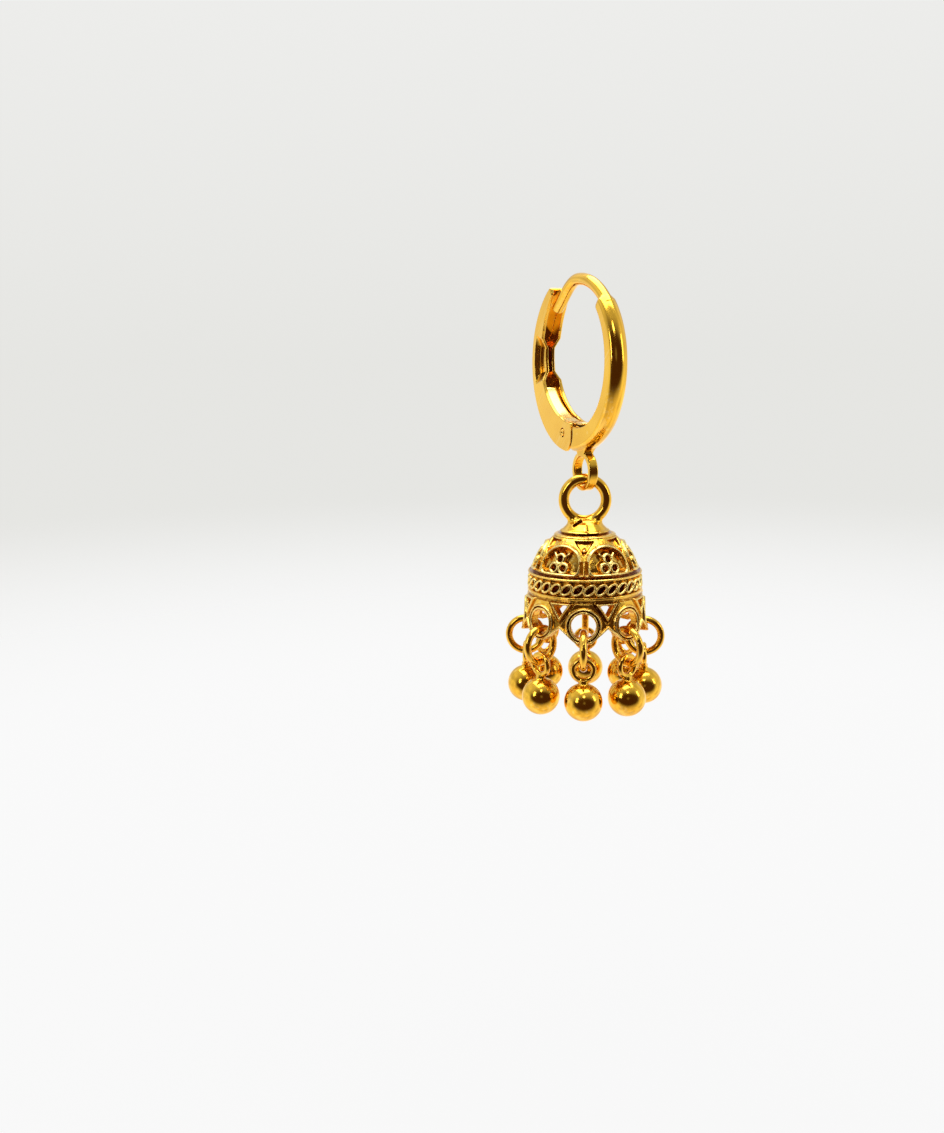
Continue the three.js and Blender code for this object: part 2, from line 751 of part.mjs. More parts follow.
const pendant = new THREE.Group();
pendant.rotation.z = radians(bellYaw);
pendant.add(piece('bell', geometryOf(bell()), castGold));
for (let i = 0; i < lugCount; i += 1) {
  const strand = new THREE.Group();
  strand.rotation.z = 2 * Math.PI * i / lugCount;
  const ring = piece(`jump_ring_${i + 1}`, jumpRing(), gold);
  ring.position.set(0, -hangRadius, ringZ);
  const drop = piece(`ball_drop_${i + 1}`, geometryOf(ballDrop()), gold);
  drop.position.set(0, -hangRadius, ballZ);
  strand.add(ring, drop);
  pendant.add(strand);
}
earring.add(pendant);

export default earring;
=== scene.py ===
import json
import math

import bpy
import numpy as np
from mathutils import Matrix, Quaternion, Vector


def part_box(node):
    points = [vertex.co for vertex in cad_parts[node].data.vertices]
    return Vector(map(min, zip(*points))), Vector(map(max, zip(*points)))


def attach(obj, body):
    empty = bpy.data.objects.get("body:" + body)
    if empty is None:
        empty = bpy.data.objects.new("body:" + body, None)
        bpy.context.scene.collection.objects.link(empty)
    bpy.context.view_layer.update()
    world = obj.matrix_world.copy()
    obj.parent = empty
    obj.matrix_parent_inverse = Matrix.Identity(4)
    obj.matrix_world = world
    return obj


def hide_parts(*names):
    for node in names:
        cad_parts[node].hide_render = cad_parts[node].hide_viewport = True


# Lengths in the dictionaries are millimetres, angles are degrees.
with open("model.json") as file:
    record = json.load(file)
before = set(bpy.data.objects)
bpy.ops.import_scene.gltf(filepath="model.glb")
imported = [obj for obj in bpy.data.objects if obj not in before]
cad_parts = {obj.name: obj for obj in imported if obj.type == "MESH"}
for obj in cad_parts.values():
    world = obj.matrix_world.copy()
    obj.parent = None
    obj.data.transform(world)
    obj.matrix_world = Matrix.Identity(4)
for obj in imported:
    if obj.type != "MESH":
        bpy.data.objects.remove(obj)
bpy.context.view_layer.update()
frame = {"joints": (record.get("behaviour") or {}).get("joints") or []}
mm = 0.001


def cornersOf(node):
    low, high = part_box(node)
    return np.array(low) / mm, np.array(high) / mm


def jointPlace(name):
    joint = next(j for j in frame["joints"] if j["name"] == name)
    return np.array(joint["pos_m"]) / mm


# soft joins of distance fields: negative inside, millimetres
def smoothMax(a, b, blend):
    lap = np.maximum(blend - np.abs(a - b), 0) / blend
    return np.maximum(a, b) + lap * lap * blend / 4


def smoothMin(a, b, blend):
    return -smoothMax(-a, -b, blend)


def ridge(distance, halfWidth):
    share = np.clip(distance / halfWidth, -1, 1)
    return (1 - share * share) ** 0.7


def easeBetween(value, start, end):
    share = np.clip((value - start) / (end - start), 0, 1)
    return share * share * (3 - 2 * share)


def foldTurn(turn, count, phase):
    step = 360 / count
    return (turn - phase + step / 2) % step - step / 2


def tableAt(rows, at):
    places, values = zip(*rows)
    return np.interp(at, places, values)


def ellipseDistance(u, v, halfU, halfV):
    reach = np.hypot(u / halfU, v / halfV)
    slope = np.hypot(u / halfU ** 2, v / halfV ** 2) + 1e-6
    return reach * (reach - 1) / slope


def triangleDistance(u, z, halfWidth, top, height, blunt=0.12):
    side = (np.abs(u) * height - halfWidth * (z - top + height)) / math.hypot(halfWidth, height)
    return smoothMax(side, z - top, blunt)


def capsuleDistance(u, z, start, end, radius):
    span = np.array(end) - np.array(start)
    share = ((u - start[0]) * span[0] + (z - start[1]) * span[1]) / (span @ span)
    share = np.clip(share, 0, 1)
    return np.hypot(u - start[0] - share * span[0], z - start[1] - share * span[1]) - radius


# outline of a turned part, kept as a table of distances over radius and height
class TurnedOutline:
    def __init__(self, points, step=0.02, margin=0.8):
        points = np.array(points, float)
        self.step = step
        self.low = np.array([0.0, points[:, 1].min() - margin])
        high = np.array([points[:, 0].max() + margin, points[:, 1].max() + margin])
        counts = np.ceil((high - self.low) / step).astype(int) + 1
        r = self.low[0] + step * np.arange(counts[0])
        z = self.low[1] + step * np.arange(counts[1])
        gridR, gridZ = np.meshgrid(r, z, indexing="ij")
        nearest = np.full(gridR.shape, 1e9)
        inside = np.zeros(gridR.shape, bool)
        for (r0, z0), (r1, z1) in zip(points, np.roll(points, -1, axis=0)):
            spanR, spanZ = r1 - r0, z1 - z0
            length = max(spanR ** 2 + spanZ ** 2, 1e-12)
            crossing = ((z0 > gridZ) != (z1 > gridZ))
            if abs(spanZ) > 1e-9:
                inside ^= crossing & (gridR < r0 + spanR * (gridZ - z0) / spanZ)
            if r0 < 1e-6 and r1 < 1e-6:
                continue
            share = np.clip(((gridR - r0) * spanR + (gridZ - z0) * spanZ) / length, 0, 1)
            away = np.hypot(gridR - r0 - share * spanR, gridZ - z0 - share * spanZ)
            nearest = np.minimum(nearest, away)
        self.table = np.where(inside, -nearest, nearest).astype(np.float32)

    def distance(self, r, z):
        a = np.clip((r - self.low[0]) / self.step, 0, self.table.shape[0] - 1.001)
        b = np.clip((z - self.low[1]) / self.step, 0, self.table.shape[1] - 1.001)
        i, j = a.astype(int), b.astype(int)
        a, b = a - i, b - j
        return ((1 - a) * (1 - b) * self.table[i, j] + a * (1 - b) * self.table[i + 1, j]
                + (1 - a) * b * self.table[i, j + 1] + a * b * self.table[i + 1, j + 1])


# cells worked out at once, reach of a slope in cells, least slope, rounds of settling, space round a box
net = {"slab": 600000, "probe": 0.25, "leastSlope": 0.2, "rounds": 2, "margin": 0.1}


# a closed mesh round the places where a field is negative
def netMesh(name, field, low, high, cell):
    low = np.array(low, float)
    counts = np.ceil((np.array(high, float) - low) / cell).astype(int) + 2
    axes = [low[i] + cell * (np.arange(counts[i]) - 0.5) for i in range(3)]
    values = np.empty(counts, np.float32)
    slab = max(1, int(net["slab"] / (counts[1] * counts[2])))
    for start in range(0, counts[0], slab):
        x, y, z = np.meshgrid(axes[0][start:start + slab], axes[1], axes[2], indexing="ij")
        values[start:start + slab] = field(x, y, z)
    inside = values < 0
    corners = [(i, j, k) for i in (0, 1) for j in (0, 1) for k in (0, 1)]
    cells = [n - 1 for n in counts]

    def shifted(array, corner):
        return array[corner[0]:corner[0] + cells[0], corner[1]:corner[1] + cells[1],
                     corner[2]:corner[2] + cells[2]]

    filled = sum(shifted(inside, c).astype(np.int8) for c in corners)
    active = (filled > 0) & (filled < 8)
    places = np.argwhere(active)
    number = np.full(active.shape, -1, np.int64)
    number[active] = np.arange(len(places))
    total = np.zeros((len(places), 3))
    crossings = np.zeros(len(places))
    for a in corners:
        for axis in range(3):
            if a[axis] == 0:
                b = tuple(a[i] + (i == axis) for i in range(3))
                atA = values[tuple((places + a).T)]
                atB = values[tuple((places + b).T)]
                crossed = (atA < 0) != (atB < 0)
                share = np.where(crossed, atA / np.where(crossed, atA - atB, 1), 0)
                point = np.array(a) + share[:, None] * (np.array(b) - np.array(a))
                total += point * crossed[:, None]
                crossings += crossed
    points = np.array([axis[0] for axis in axes]) + cell * (places + total / crossings[:, None])

    def slopeAt(p):
        here = field(p[:, 0], p[:, 1], p[:, 2])
        reach = cell * net["probe"]
        steps = reach * np.eye(3)
        ahead = [field(*(p + s).T) - field(*(p - s).T) for s in steps]
        return here, np.stack(ahead, axis=1) / (2 * reach)

    for _ in range(net["rounds"]):
        here, slope = slopeAt(points)
        move = slope * (here / np.maximum((slope ** 2).sum(1), net["leastSlope"]))[:, None]
        points = points - np.clip(move, -cell / 2, cell / 2)

    quads = []
    for axis in range(3):
        u, v = (axis + 1) % 3, (axis + 2) % 3
        here = [slice(1, -1)] * 3
        here[axis] = slice(0, counts[axis] - 1)
        ahead = list(here)
        ahead[axis] = slice(1, counts[axis])
        before, after = inside[tuple(here)], inside[tuple(ahead)]
        for flip in (False, True):
            edge = np.argwhere((before & ~after) if not flip else (after & ~before))
            offset = np.ones(3, int)
            offset[axis] = 0
            edge = edge + offset
            stepU, stepV = np.eye(3, dtype=int)[u], np.eye(3, dtype=int)[v]
            ring = [edge, edge - stepU, edge - stepU - stepV, edge - stepV]
            quad = np.stack([number[tuple(r.T)] for r in ring], axis=1)
            quads.append(quad[:, ::-1] if flip else quad)
    quads = np.concatenate(quads)
    _, slope = slopeAt(points)
    normals = slope / np.maximum(np.linalg.norm(slope, axis=1), 1e-9)[:, None]
    return {"name": name, "points": points, "quads": quads, "normals": normals}


def makePiece(shape, turn=0.0, place=(0, 0, 0), name=None):
    turned = Matrix.Rotation(math.radians(turn), 3, "Z")
    spin = np.array(turned)
    points = (shape["points"] @ spin.T + np.array(place)) * mm
    normals = shape["normals"] @ spin.T
    mesh = bpy.data.meshes.new(name or shape["name"])
    quads = shape["quads"]
    mesh.vertices.add(len(points))
    mesh.vertices.foreach_set("co", points.astype(np.float32).ravel())
    mesh.loops.add(quads.size)
    mesh.loops.foreach_set("vertex_index", quads.astype(np.int32).ravel())
    mesh.polygons.add(len(quads))
    mesh.polygons.foreach_set("loop_start", np.arange(0, quads.size, 4, dtype=np.int32))
    mesh.polygons.foreach_set("use_smooth", np.ones(len(quads), bool))
    mesh.update(calc_edges=True)
    mesh.validate()
    mesh.normals_split_custom_set_from_vertices(normals.astype(np.float32))
    # point marks for the painted shade and the painted highlight
    for label in ("paintedShade", "crest"):
        if label in shape:
            layer = mesh.attributes.new(label, "FLOAT", "POINT")
            layer.data.foreach_set("value", shape[label].astype(np.float32))
    piece = bpy.data.objects.new(mesh.name, mesh)
    bpy.context.scene.collection.objects.link(piece)
    return piece


def sweptShape(name, rings):
    count, sides = rings.shape[:2]
    points = rings.reshape(-1, 3)
    i, j = np.meshgrid(np.arange(count), np.arange(sides), indexing="ij")
    a = i * sides + j
    b = (i + 1) % count * sides + j
    c = (i + 1) % count * sides + (j + 1) % sides
    d = i * sides + (j + 1) % sides
    quads = np.stack([a, b, c, d], axis=-1).reshape(-1, 4)
    across = np.roll(rings, -1, axis=1) - np.roll(rings, 1, axis=1)
    along = np.roll(rings, -1, axis=0) - np.roll(rings, 1, axis=0)
    normals = np.cross(along, across).reshape(-1, 3)
    normals /= np.maximum(np.linalg.norm(normals, axis=1), 1e-12)[:, None]
    centre = rings.mean(axis=1, keepdims=True)
    outward = ((rings - centre).reshape(-1, 3) * normals).sum()
    if outward < 0:
        normals = -normals
        quads = quads[:, ::-1]
    return {"name": name, "points": points, "quads": quads, "normals": normals}


# node groups
def nodeGroup(name, inputs, outputs):
    group = bpy.data.node_groups.new(name, "ShaderNodeTree")
    for label, kind, value in inputs:
        socket = group.interface.new_socket(label, in_out="INPUT", socket_type=kind)
        socket.default_value = value
    for label, kind in outputs:
        group.interface.new_socket(label, in_out="OUTPUT", socket_type=kind)
    return group, group.nodes.new("NodeGroupInput"), group.nodes.new("NodeGroupOutput")


def addNode(tree, kind, **settings):
    node = tree.nodes.new(kind)
    for key, value in settings.items():
        setattr(node, key, value)
    return node


def feed(tree, socket, source):
    if isinstance(source, (int, float)):
        socket.default_value = source
    else:
        tree.links.new(source, socket)


def mathNode(tree, operation, *sources, clamp=True):
    node = addNode(tree, "ShaderNodeMath", operation=operation, use_clamp=clamp)
    for socket, source in zip(node.inputs, sources):
        feed(tree, socket, source)
    return node.outputs[0]


def noiseNode(tree, vector, scale, detail):
    node = addNode(tree, "ShaderNodeTexNoise")
    for key, source in (("Vector", vector), ("Scale", scale), ("Detail", detail)):
        feed(tree, node.inputs[key], source)
    return node.outputs["Fac"]


def rangeNode(tree, source, starts, ends=(0, 1), **settings):
    node = addNode(tree, "ShaderNodeMapRange", **settings)
    for key, value in zip(("Value", "From Min", "From Max", "To Min", "To Max"), (source, *starts, *ends)):
        feed(tree, node.inputs[key], value)
    return node.outputs["Result"]


# pointiness that counts as hollow (painted shade) or raised (painted highlight), its share beside the
# painted shade and highlight marks, and the detail of each noise
toneRange = {
    "hollow": (0.5, 0.42), "hollowShare": 0.6, "raised": (0.505, 0.56), "raisedShare": 0.5,
    "patches": (0.3, 0.7), "patchDrift": (0, 0.22), "patchDetail": 3, "grainDetail": 4, "waveDetail": 1,
}


def makeToneGroup():
    group, given, result = nodeGroup(
        "goldTone",
        [("Bright", "NodeSocketColor", (1, 1, 1, 1)), ("Deep Tone And Shade", "NodeSocketColor", (1, 1, 1, 1)),
         ("Crest", "NodeSocketColor", (1, 1, 1, 1)), ("Recess Shade", "NodeSocketFloat", 0.5),
         ("Crest Highlight", "NodeSocketFloat", 0.5), ("Patch Scale", "NodeSocketFloat", 300)],
        [("Color", "NodeSocketColor")])
    link = group.links.new
    # painted shade: hollows found by pointiness and the marked recesses darken towards the deep colour;
    # the random tone patches below drift towards it as well
    pointiness = addNode(group, "ShaderNodeNewGeometry").outputs["Pointiness"]
    hollow = rangeNode(group, pointiness, toneRange["hollow"])
    paintedShade = addNode(group, "ShaderNodeAttribute", attribute_name="paintedShade").outputs["Fac"]
    shadeMask = mathNode(group, "MULTIPLY_ADD", hollow, toneRange["hollowShare"], paintedShade)
    depth = mathNode(group, "MULTIPLY", shadeMask, given.outputs["Recess Shade"])
    place = addNode(group, "ShaderNodeTexCoord").outputs["Object"]
    patches = noiseNode(group, place, given.outputs["Patch Scale"], toneRange["patchDetail"])
    drift = rangeNode(group, patches, toneRange["patches"], toneRange["patchDrift"])
    mix = addNode(group, "ShaderNodeMix", data_type="RGBA")
    link(mathNode(group, "ADD", depth, drift), mix.inputs["Factor"])
    link(given.outputs["Bright"], mix.inputs["A"])
    link(given.outputs["Deep Tone And Shade"], mix.inputs["B"])
    # painted highlight: raised parts found by pointiness and the marked crests turn towards the paler
    # crest colour
    raised = rangeNode(group, pointiness, toneRange["raised"])
    crest = addNode(group, "ShaderNodeAttribute", attribute_name="crest").outputs["Fac"]
    proud = mathNode(group, "MULTIPLY_ADD", raised, toneRange["raisedShare"], crest)
    highlighted = addNode(group, "ShaderNodeMix", data_type="RGBA")
    link(mathNode(group, "MULTIPLY", proud, given.outputs["Crest Highlight"]), highlighted.inputs["Factor"])
    link(mix.outputs["Result"], highlighted.inputs["A"])
    link(given.outputs["Crest"], highlighted.inputs["B"])
    link(highlighted.outputs["Result"], result.inputs["Color"])
    return group


def makeFinishGroup():
    group, given, result = nodeGroup(
        "metalFinish",
        [("Roughness", "NodeSocketFloat", 0.1), ("Spread", "NodeSocketFloat", 0.1),
         ("Grain Scale", "NodeSocketFloat", 3000), ("Grain", "NodeSocketFloat", 0.2),
         ("Wave Scale", "NodeSocketFloat", 400), ("Wave", "NodeSocketFloat", 0.4)],
        [("Roughness", "NodeSocketFloat"), ("Height", "NodeSocketFloat")])
    link = group.links.new
    place = addNode(group, "ShaderNodeTexCoord").outputs["Object"]
    grain = noiseNode(group, place, given.outputs["Grain Scale"], toneRange["grainDetail"])
    wave = noiseNode(group, place, given.outputs["Wave Scale"], toneRange["waveDetail"])
    spread = mathNode(group, "MULTIPLY_ADD", grain, given.outputs["Spread"], given.outputs["Roughness"])
    link(spread, result.inputs["Roughness"])
    fine = mathNode(group, "MULTIPLY", grain, given.outputs["Grain"], clamp=False)
    height = mathNode(group, "MULTIPLY_ADD", wave, given.outputs["Wave"], fine, clamp=False)
    link(height, result.inputs["Height"])
    return group


toneGroup = makeToneGroup()
finishGroup = makeFinishGroup()


def goldMaterial(name, look):
    material = bpy.data.materials.new(name)
    material.use_nodes = True
    tree = material.node_tree
    shader = tree.nodes["Principled BSDF"]
    shader.inputs["Metallic"].default_value = 1
    tone = addNode(tree, "ShaderNodeGroup", node_tree=toneGroup)
    # the deep colour is painted shade in hollows, the crest colour a painted highlight on raised parts
    tone.inputs["Bright"].default_value = (*look["bright"], 1)
    tone.inputs["Deep Tone And Shade"].default_value = (*look["deepToneAndShade"], 1)
    tone.inputs["Crest"].default_value = (*look["crest"], 1)
    tone.inputs["Recess Shade"].default_value = look["recess"]
    tone.inputs["Crest Highlight"].default_value = look["crestHighlight"]
    tone.inputs["Patch Scale"].default_value = look["patchScale"]
    finish = addNode(tree, "ShaderNodeGroup", node_tree=finishGroup)
    for socket in ("Roughness", "Spread", "Grain Scale", "Grain", "Wave Scale", "Wave"):
        finish.inputs[socket].default_value = look[socket]
    bump = addNode(tree, "ShaderNodeBump")
    bump.inputs["Strength"].default_value = look["bump"]
    bump.inputs["Distance"].default_value = look["bumpDepth"] * mm
    link = tree.links.new
    link(tone.outputs["Color"], shader.inputs["Base Color"])
    link(finish.outputs["Roughness"], shader.inputs["Roughness"])
    link(finish.outputs["Height"], bump.inputs["Height"])
    link(bump.outputs["Normal"], shader.inputs["Normal"])
    return material


# each look: base colour, deep colour for painted shade, crest colour for painted highlight, their
# strengths, then roughness and bumps
polishedGold = goldMaterial("polishedGold", {
    "bright": (0.98, 0.58, 0.055), "deepToneAndShade": (0.55, 0.18, 0.01), "crest": (1.0, 0.76, 0.27),
    "recess": 0.8, "crestHighlight": 0.6, "patchScale": 350,
    "Roughness": 0.1, "Spread": 0.09, "Grain Scale": 9000, "Grain": 0.04,
    "Wave Scale": 700, "Wave": 0.5, "bump": 0.5, "bumpDepth": 0.02,
})
castGold = goldMaterial("castGold", {
    "bright": (1.0, 0.58, 0.06), "deepToneAndShade": (0.22, 0.05, 0.003), "crest": (1.0, 0.8, 0.28),
    "recess": 1.0, "crestHighlight": 0.8, "patchScale": 700,
    "Roughness": 0.13, "Spread": 0.14, "Grain Scale": 5000, "Grain": 0.25,
    "Wave Scale": 1500, "Wave": 0.9, "bump": 0.9, "bumpDepth": 0.07,
})
springGold = goldMaterial("springGold", {
    "bright": (0.96, 0.68, 0.2), "deepToneAndShade": (0.8, 0.4, 0.05), "crest": (1.0, 0.85, 0.45),
    "recess": 0.3, "crestHighlight": 0.4, "patchScale": 500,
    "Roughness": 0.12, "Spread": 0.12, "Grain Scale": 12000, "Grain": 0.1,
    "Wave Scale": 900, "Wave": 0.4, "bump": 0.5, "bumpDepth": 0.02,
})


def dress(piece, body, slot, material, *nodes):
    piece.data.materials.append(material)
    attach(piece, body)
    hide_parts(*nodes)


# hoop: front arc with the ear wire, the foot, the tongue and the eye
hoop = {
    "radius": 6.9, "setback": 1.2, "wire": 0.95, "wireDip": 0.72, "wireDipTurn": 34, "wireEnd": 41,
    "frontTop": 42, "frontWidth": 1.5, "footWidth": 1.76, "footDepth": 2.1, "crown": 0.35,
    "depths": [(0, 0.52), (0.35, 0.63), (0.6, 0.68), (0.8, 0.78), (1, 1)],
    "widenRate": 4, "crownMost": 1.3, "seamTurn": 120, "frontEnd": -182, "wireLap": 6,
    "edge": 0.16, "topRound": 0.5, "wireRound": 0.1, "wireBlend": 0.12,
    "cell": 0.06,
}
hinge = {
    "cheek": 1.6, "tongue": 0.62, "clearance": 0.19, "wall": 0.28, "pin": 0.56, "pinProud": 0.03,
    "pinGap": 0.09, "tonguePlay": 0.1, "tongueBlend": 0.06, "cheekBlend": 0.08,
    "pinBlend": 0.05, "pinSides": 40, "pinSmallest": 0.002,
    # radius and depth below the rivet's end face, from the dish to the rim; then from the rim down
    "dishLine": [(0.0, 0.18), (0.09, 0.16), (0.13, 0.03), (0.16, 0)],
    "rimLine": [(-0.06, 0), (-0.02, 0.02), (0, 0.06)],
}
eye = {
    "radius": 1.55, "strip": 0.38, "width": 0.78, "edge": 0.12, "neck": 0.5,
    "neckHalf": 0.55, "neckFlare": 0.75, "neckStart": 0.35, "flareMost": 1.3, "sideFlare": 0.12,
    "neckEdge": 0.1, "neckRoot": 0.9, "rootBlend": 0.12, "hoopBlend": 0.1,
}

frontLow, frontHigh = cornersOf("hoop_front")
hoopY = hoop["setback"]
hoopZ = frontHigh[2] - hoop["radius"]
pinY, pinZ = jointPlace("lever_hinge")[1:]
eyeZ = jointPlace("pendant_swing")[2]


def hoopPlace(y, z):
    reach = np.hypot(y - hoopY, z - hoopZ)
    turn = np.degrees(np.arctan2(y - hoopY, z - hoopZ))
    return reach, turn


def frontField(x, y, z):
    reach, turn = hoopPlace(y, z)
    before = np.where(turn > hoop["seamTurn"], turn - 360, turn)    # from -180 at the foot to its top
    along = np.clip((-hoop["frontTop"] - before) / (180 - hoop["frontTop"]), 0, 1)
    inner = hoop["radius"] - hoop["footDepth"] * tableAt(hoop["depths"], along)
    half = (hoop["frontWidth"] + (hoop["footWidth"] - hoop["frontWidth"])
            * np.clip(1 - hoop["widenRate"] * (1 - along), 0, 1)) / 2
    outer = hoop["radius"] - hoop["crown"] * np.minimum((x / half) ** 2, hoop["crownMost"])
    arc = smoothMax(reach - outer, inner - reach, hoop["edge"])
    arc = smoothMax(arc, np.abs(x) - half, hoop["edge"])
    topEnd = np.radians(before + hoop["frontTop"]) * reach
    arc = smoothMax(arc, topEnd, hoop["topRound"])
    arc = np.maximum(arc, np.radians(hoop["frontEnd"] - before) * reach)
    fromPin = np.hypot(y - pinY, z - pinZ)
    arc = smoothMax(arc, hinge["cheek"] + hinge["clearance"] - fromPin, hinge["cheekBlend"])

    wireLine = hoop["radius"] - hoop["wire"] / 2
    dip = hoop["wireDip"] * easeBetween(turn, 0, hoop["wireDipTurn"])
    wire = np.hypot(x, reach - wireLine + dip) - hoop["wire"] / 2
    wire = smoothMax(wire, np.radians(turn - hoop["wireEnd"]) * reach, hoop["wireRound"])
    wire = np.maximum(wire, np.radians(-hoop["frontTop"] - hoop["wireLap"] - turn) * reach)
    shape = smoothMin(arc, wire, hoop["wireBlend"])

    tongueHalf = hoop["footWidth"] / 2 - hinge["wall"] - hinge["tonguePlay"]
    ahead = np.clip(pinY - y, 0, hinge["cheek"] + 2 * hinge["clearance"])
    tongue = np.hypot(y - pinY + ahead, z - pinZ) - hinge["tongue"]
    tongue = smoothMax(tongue, np.abs(x) - tongueHalf, hinge["tongueBlend"])
    shape = smoothMin(shape, tongue, hinge["tongueBlend"])

    eyeMiddle = eye["radius"] - eye["strip"] / 2
    fromEye = np.hypot(y, z - eyeZ)
    ring = smoothMax(np.abs(fromEye - eyeMiddle) - eye["strip"] / 2,
                     np.abs(x) - eye["width"] / 2, eye["edge"])
    neckTop = eyeZ + eye["radius"] + eye["neck"]
    neckFoot = eyeZ + eye["radius"] - eye["strip"] * eye["neckRoot"]
    rise = z - eyeZ - eye["radius"] + eye["neckStart"]
    widen = np.clip(rise / (eye["neck"] + eye["neckStart"]), 0, eye["flareMost"])
    neck = smoothMax(np.abs(y) - eye["neckHalf"] - eye["neckFlare"] * widen ** 2,
                     np.abs(x) - eye["width"] / 2 - eye["sideFlare"] * widen, eye["neckEdge"])
    neck = np.maximum(neck, np.maximum(z - neckTop, neckFoot - z))
    neck = np.maximum(neck, eye["radius"] - eye["strip"] - fromEye)
    return smoothMin(smoothMin(ring, neck, eye["rootBlend"]), shape, eye["hoopBlend"])


margin = net["margin"]
hoopFront = netMesh("hoopFront", frontField, frontLow - margin, frontHigh + margin, hoop["cell"])
dress(makePiece(hoopFront), "hoop", "polished_gold", polishedGold, "hoop_front")
print("hoop front done")

# lever: a pinched channel with two cheeks round the pin
lever = {
    "width": 1.76, "wall": 0.28, "web": 0.3, "depth": 2.45, "top": 29, "hinge": 168, "past": 20,
    "waistGap": 0.3, "ledge": 0.6, "edge": 0.1, "openWeb": 0.25,
    "ledgeEase": (-0.06, 0.12), "topRound": 0.22, "channelBlend": 0.07, "cheekBlend": 0.06,
    "depths": [(0, 0.26), (0.1, 0.45), (0.23, 0.61), (0.5, 0.76), (0.78, 0.94), (0.95, 1), (1.15, 0.92)],
    "pinch": [(0.28, 0), (0.34, 1), (0.49, 1), (0.55, 0)],
    "cell": 0.06,
}
leverLow, leverHigh = cornersOf("hoop_lever")


def leverInnerAt(along):
    return hoop["radius"] - lever["depth"] * tableAt(lever["depths"], along)


def leverField(x, y, z):
    reach, turn = hoopPlace(y, z)
    behind = np.where(turn < -90, turn + 360, turn)
    along = (behind - lever["top"]) / (lever["hinge"] - lever["top"])
    inner = leverInnerAt(along)
    pinch = tableAt(lever["pinch"], along)
    half = lever["width"] / 2
    channelHalf = half - lever["wall"]
    sink = pinch * (channelHalf - lever["waistGap"] / 2)
    aside = np.abs(x)
    ledge = hoop["radius"] - lever["ledge"]
    dented = half - sink * easeBetween(ledge - reach, *lever["ledgeEase"])
    body = smoothMax(reach - hoop["radius"], inner - reach, lever["edge"])
    body = smoothMax(body, aside - dented, lever["edge"])
    topEnd = np.radians(lever["top"] - behind) * reach
    body = smoothMax(body, topEnd, lever["topRound"])
    body = np.maximum(body, np.radians(behind - lever["hinge"] - lever["past"]) * reach)
    channel = np.maximum(aside - channelHalf + sink, reach - hoop["radius"] + lever["web"])
    body = smoothMax(body, -channel, lever["channelBlend"])
    fromPin = np.hypot(y - pinY, z - pinZ)
    ahead = np.where(y < pinY, fromPin - hinge["cheek"], -1)
    body = smoothMax(body, ahead, lever["cheekBlend"])
    under = np.maximum(np.maximum(aside - channelHalf, y - pinY - lever["openWeb"]), z - pinZ)
    body = np.maximum(body, -under)
    return smoothMax(body, hinge["pin"] / 2 + hinge["pinGap"] - fromPin, hinge["pinBlend"])


leverShape = netMesh("hoopLever", leverField, leverLow - margin, leverHigh + margin, lever["cell"])
dress(makePiece(leverShape), "lever", "polished_gold", polishedGold, "hoop_lever")
print("lever done")

# spring leaf in the channel, and the hinge rivet
leaf = {
    "thickness": 0.18, "clearance": 0.08, "squareness": 0.28, "tip": 1e-4,
    "sink": [(0.58, 0.2), (0.78, 0.1), (0.95, 0.04), (1.1, -0.02), (1.15, -0.02), (1.24, 0.075)],
    "steps": 60, "sides": 24,
}


def roundedSection(halfWidth, halfDepth, power, sides):
    turn = 2 * np.pi * (np.arange(sides) + 0.5) / sides
    return np.stack([halfWidth * np.sign(np.cos(turn)) * np.abs(np.cos(turn)) ** power,
                     halfDepth * np.sign(np.sin(turn)) * np.abs(np.sin(turn)) ** power], axis=1)


def springRings():
    half = lever["width"] / 2 - lever["wall"] - leaf["clearance"]
    section = roundedSection(half, leaf["thickness"] / 2, leaf["squareness"], leaf["sides"])
    rows = leaf["sink"]
    places = np.linspace(rows[0][0], rows[-1][0], leaf["steps"])
    rings = []
    for index, along in enumerate(places):
        turn = math.radians(lever["top"] + (lever["hinge"] - lever["top"]) * along)
        sunk = leverInnerAt(along) + lever["depth"] * tableAt(rows, along)
        reach = sunk + leaf["thickness"] / 2
        fade = leaf["tip"] if index in (0, leaf["steps"] - 1) else 1
        x = section[:, 0] * fade
        r = reach + section[:, 1] * fade
        rings.append(np.stack([x, hoopY + r * math.sin(turn), hoopZ + r * math.cos(turn)], axis=1))
    return np.array(rings)


def makeStrip(name, rings):
    count, sides = rings.shape[:2]
    faces = []
    for i in range(count - 1):
        for j in range(sides):
            k = (j + 1) % sides
            faces.append((i * sides + j, i * sides + k, (i + 1) * sides + k, (i + 1) * sides + j))
    faces.append(tuple(range(sides))[::-1])
    faces.append(tuple(range((count - 1) * sides, count * sides)))
    mesh = bpy.data.meshes.new(name)
    mesh.from_pydata([tuple(p * mm) for p in rings.reshape(-1, 3)], [], faces)
    mesh.update()
    piece = bpy.data.objects.new(name, mesh)
    bpy.context.scene.collection.objects.link(piece)
    for polygon in mesh.polygons:
        polygon.use_smooth = len(polygon.vertices) == 4
    return piece


dress(makeStrip("springLeaf", springRings()), "lever", "polished_gold", springGold, "spring_leaf")


def rivetRings():
    radius = hinge["pin"] / 2
    half = hoop["footWidth"] / 2 + hinge["pinProud"]
    side = [(r, -half + depth) for r, depth in hinge["dishLine"]]
    side += [(radius + r, -half + depth) for r, depth in hinge["rimLine"]]
    line = side + [(r, -x) for r, x in reversed(side)]
    sides = hinge["pinSides"]
    turn = 2 * np.pi * np.arange(sides) / sides
    rings = []
    for r, x in line:
        r = max(r, hinge["pinSmallest"])
        ring = [np.full(sides, x), pinY + r * np.cos(turn), pinZ + r * np.sin(turn)]
        rings.append(np.stack(ring, axis=1))
    return np.array(rings)


dress(makeStrip("hingeRivet", rivetRings()), "hoop", "polished_gold", polishedGold, "hinge_pin")
print("spring and rivet done")

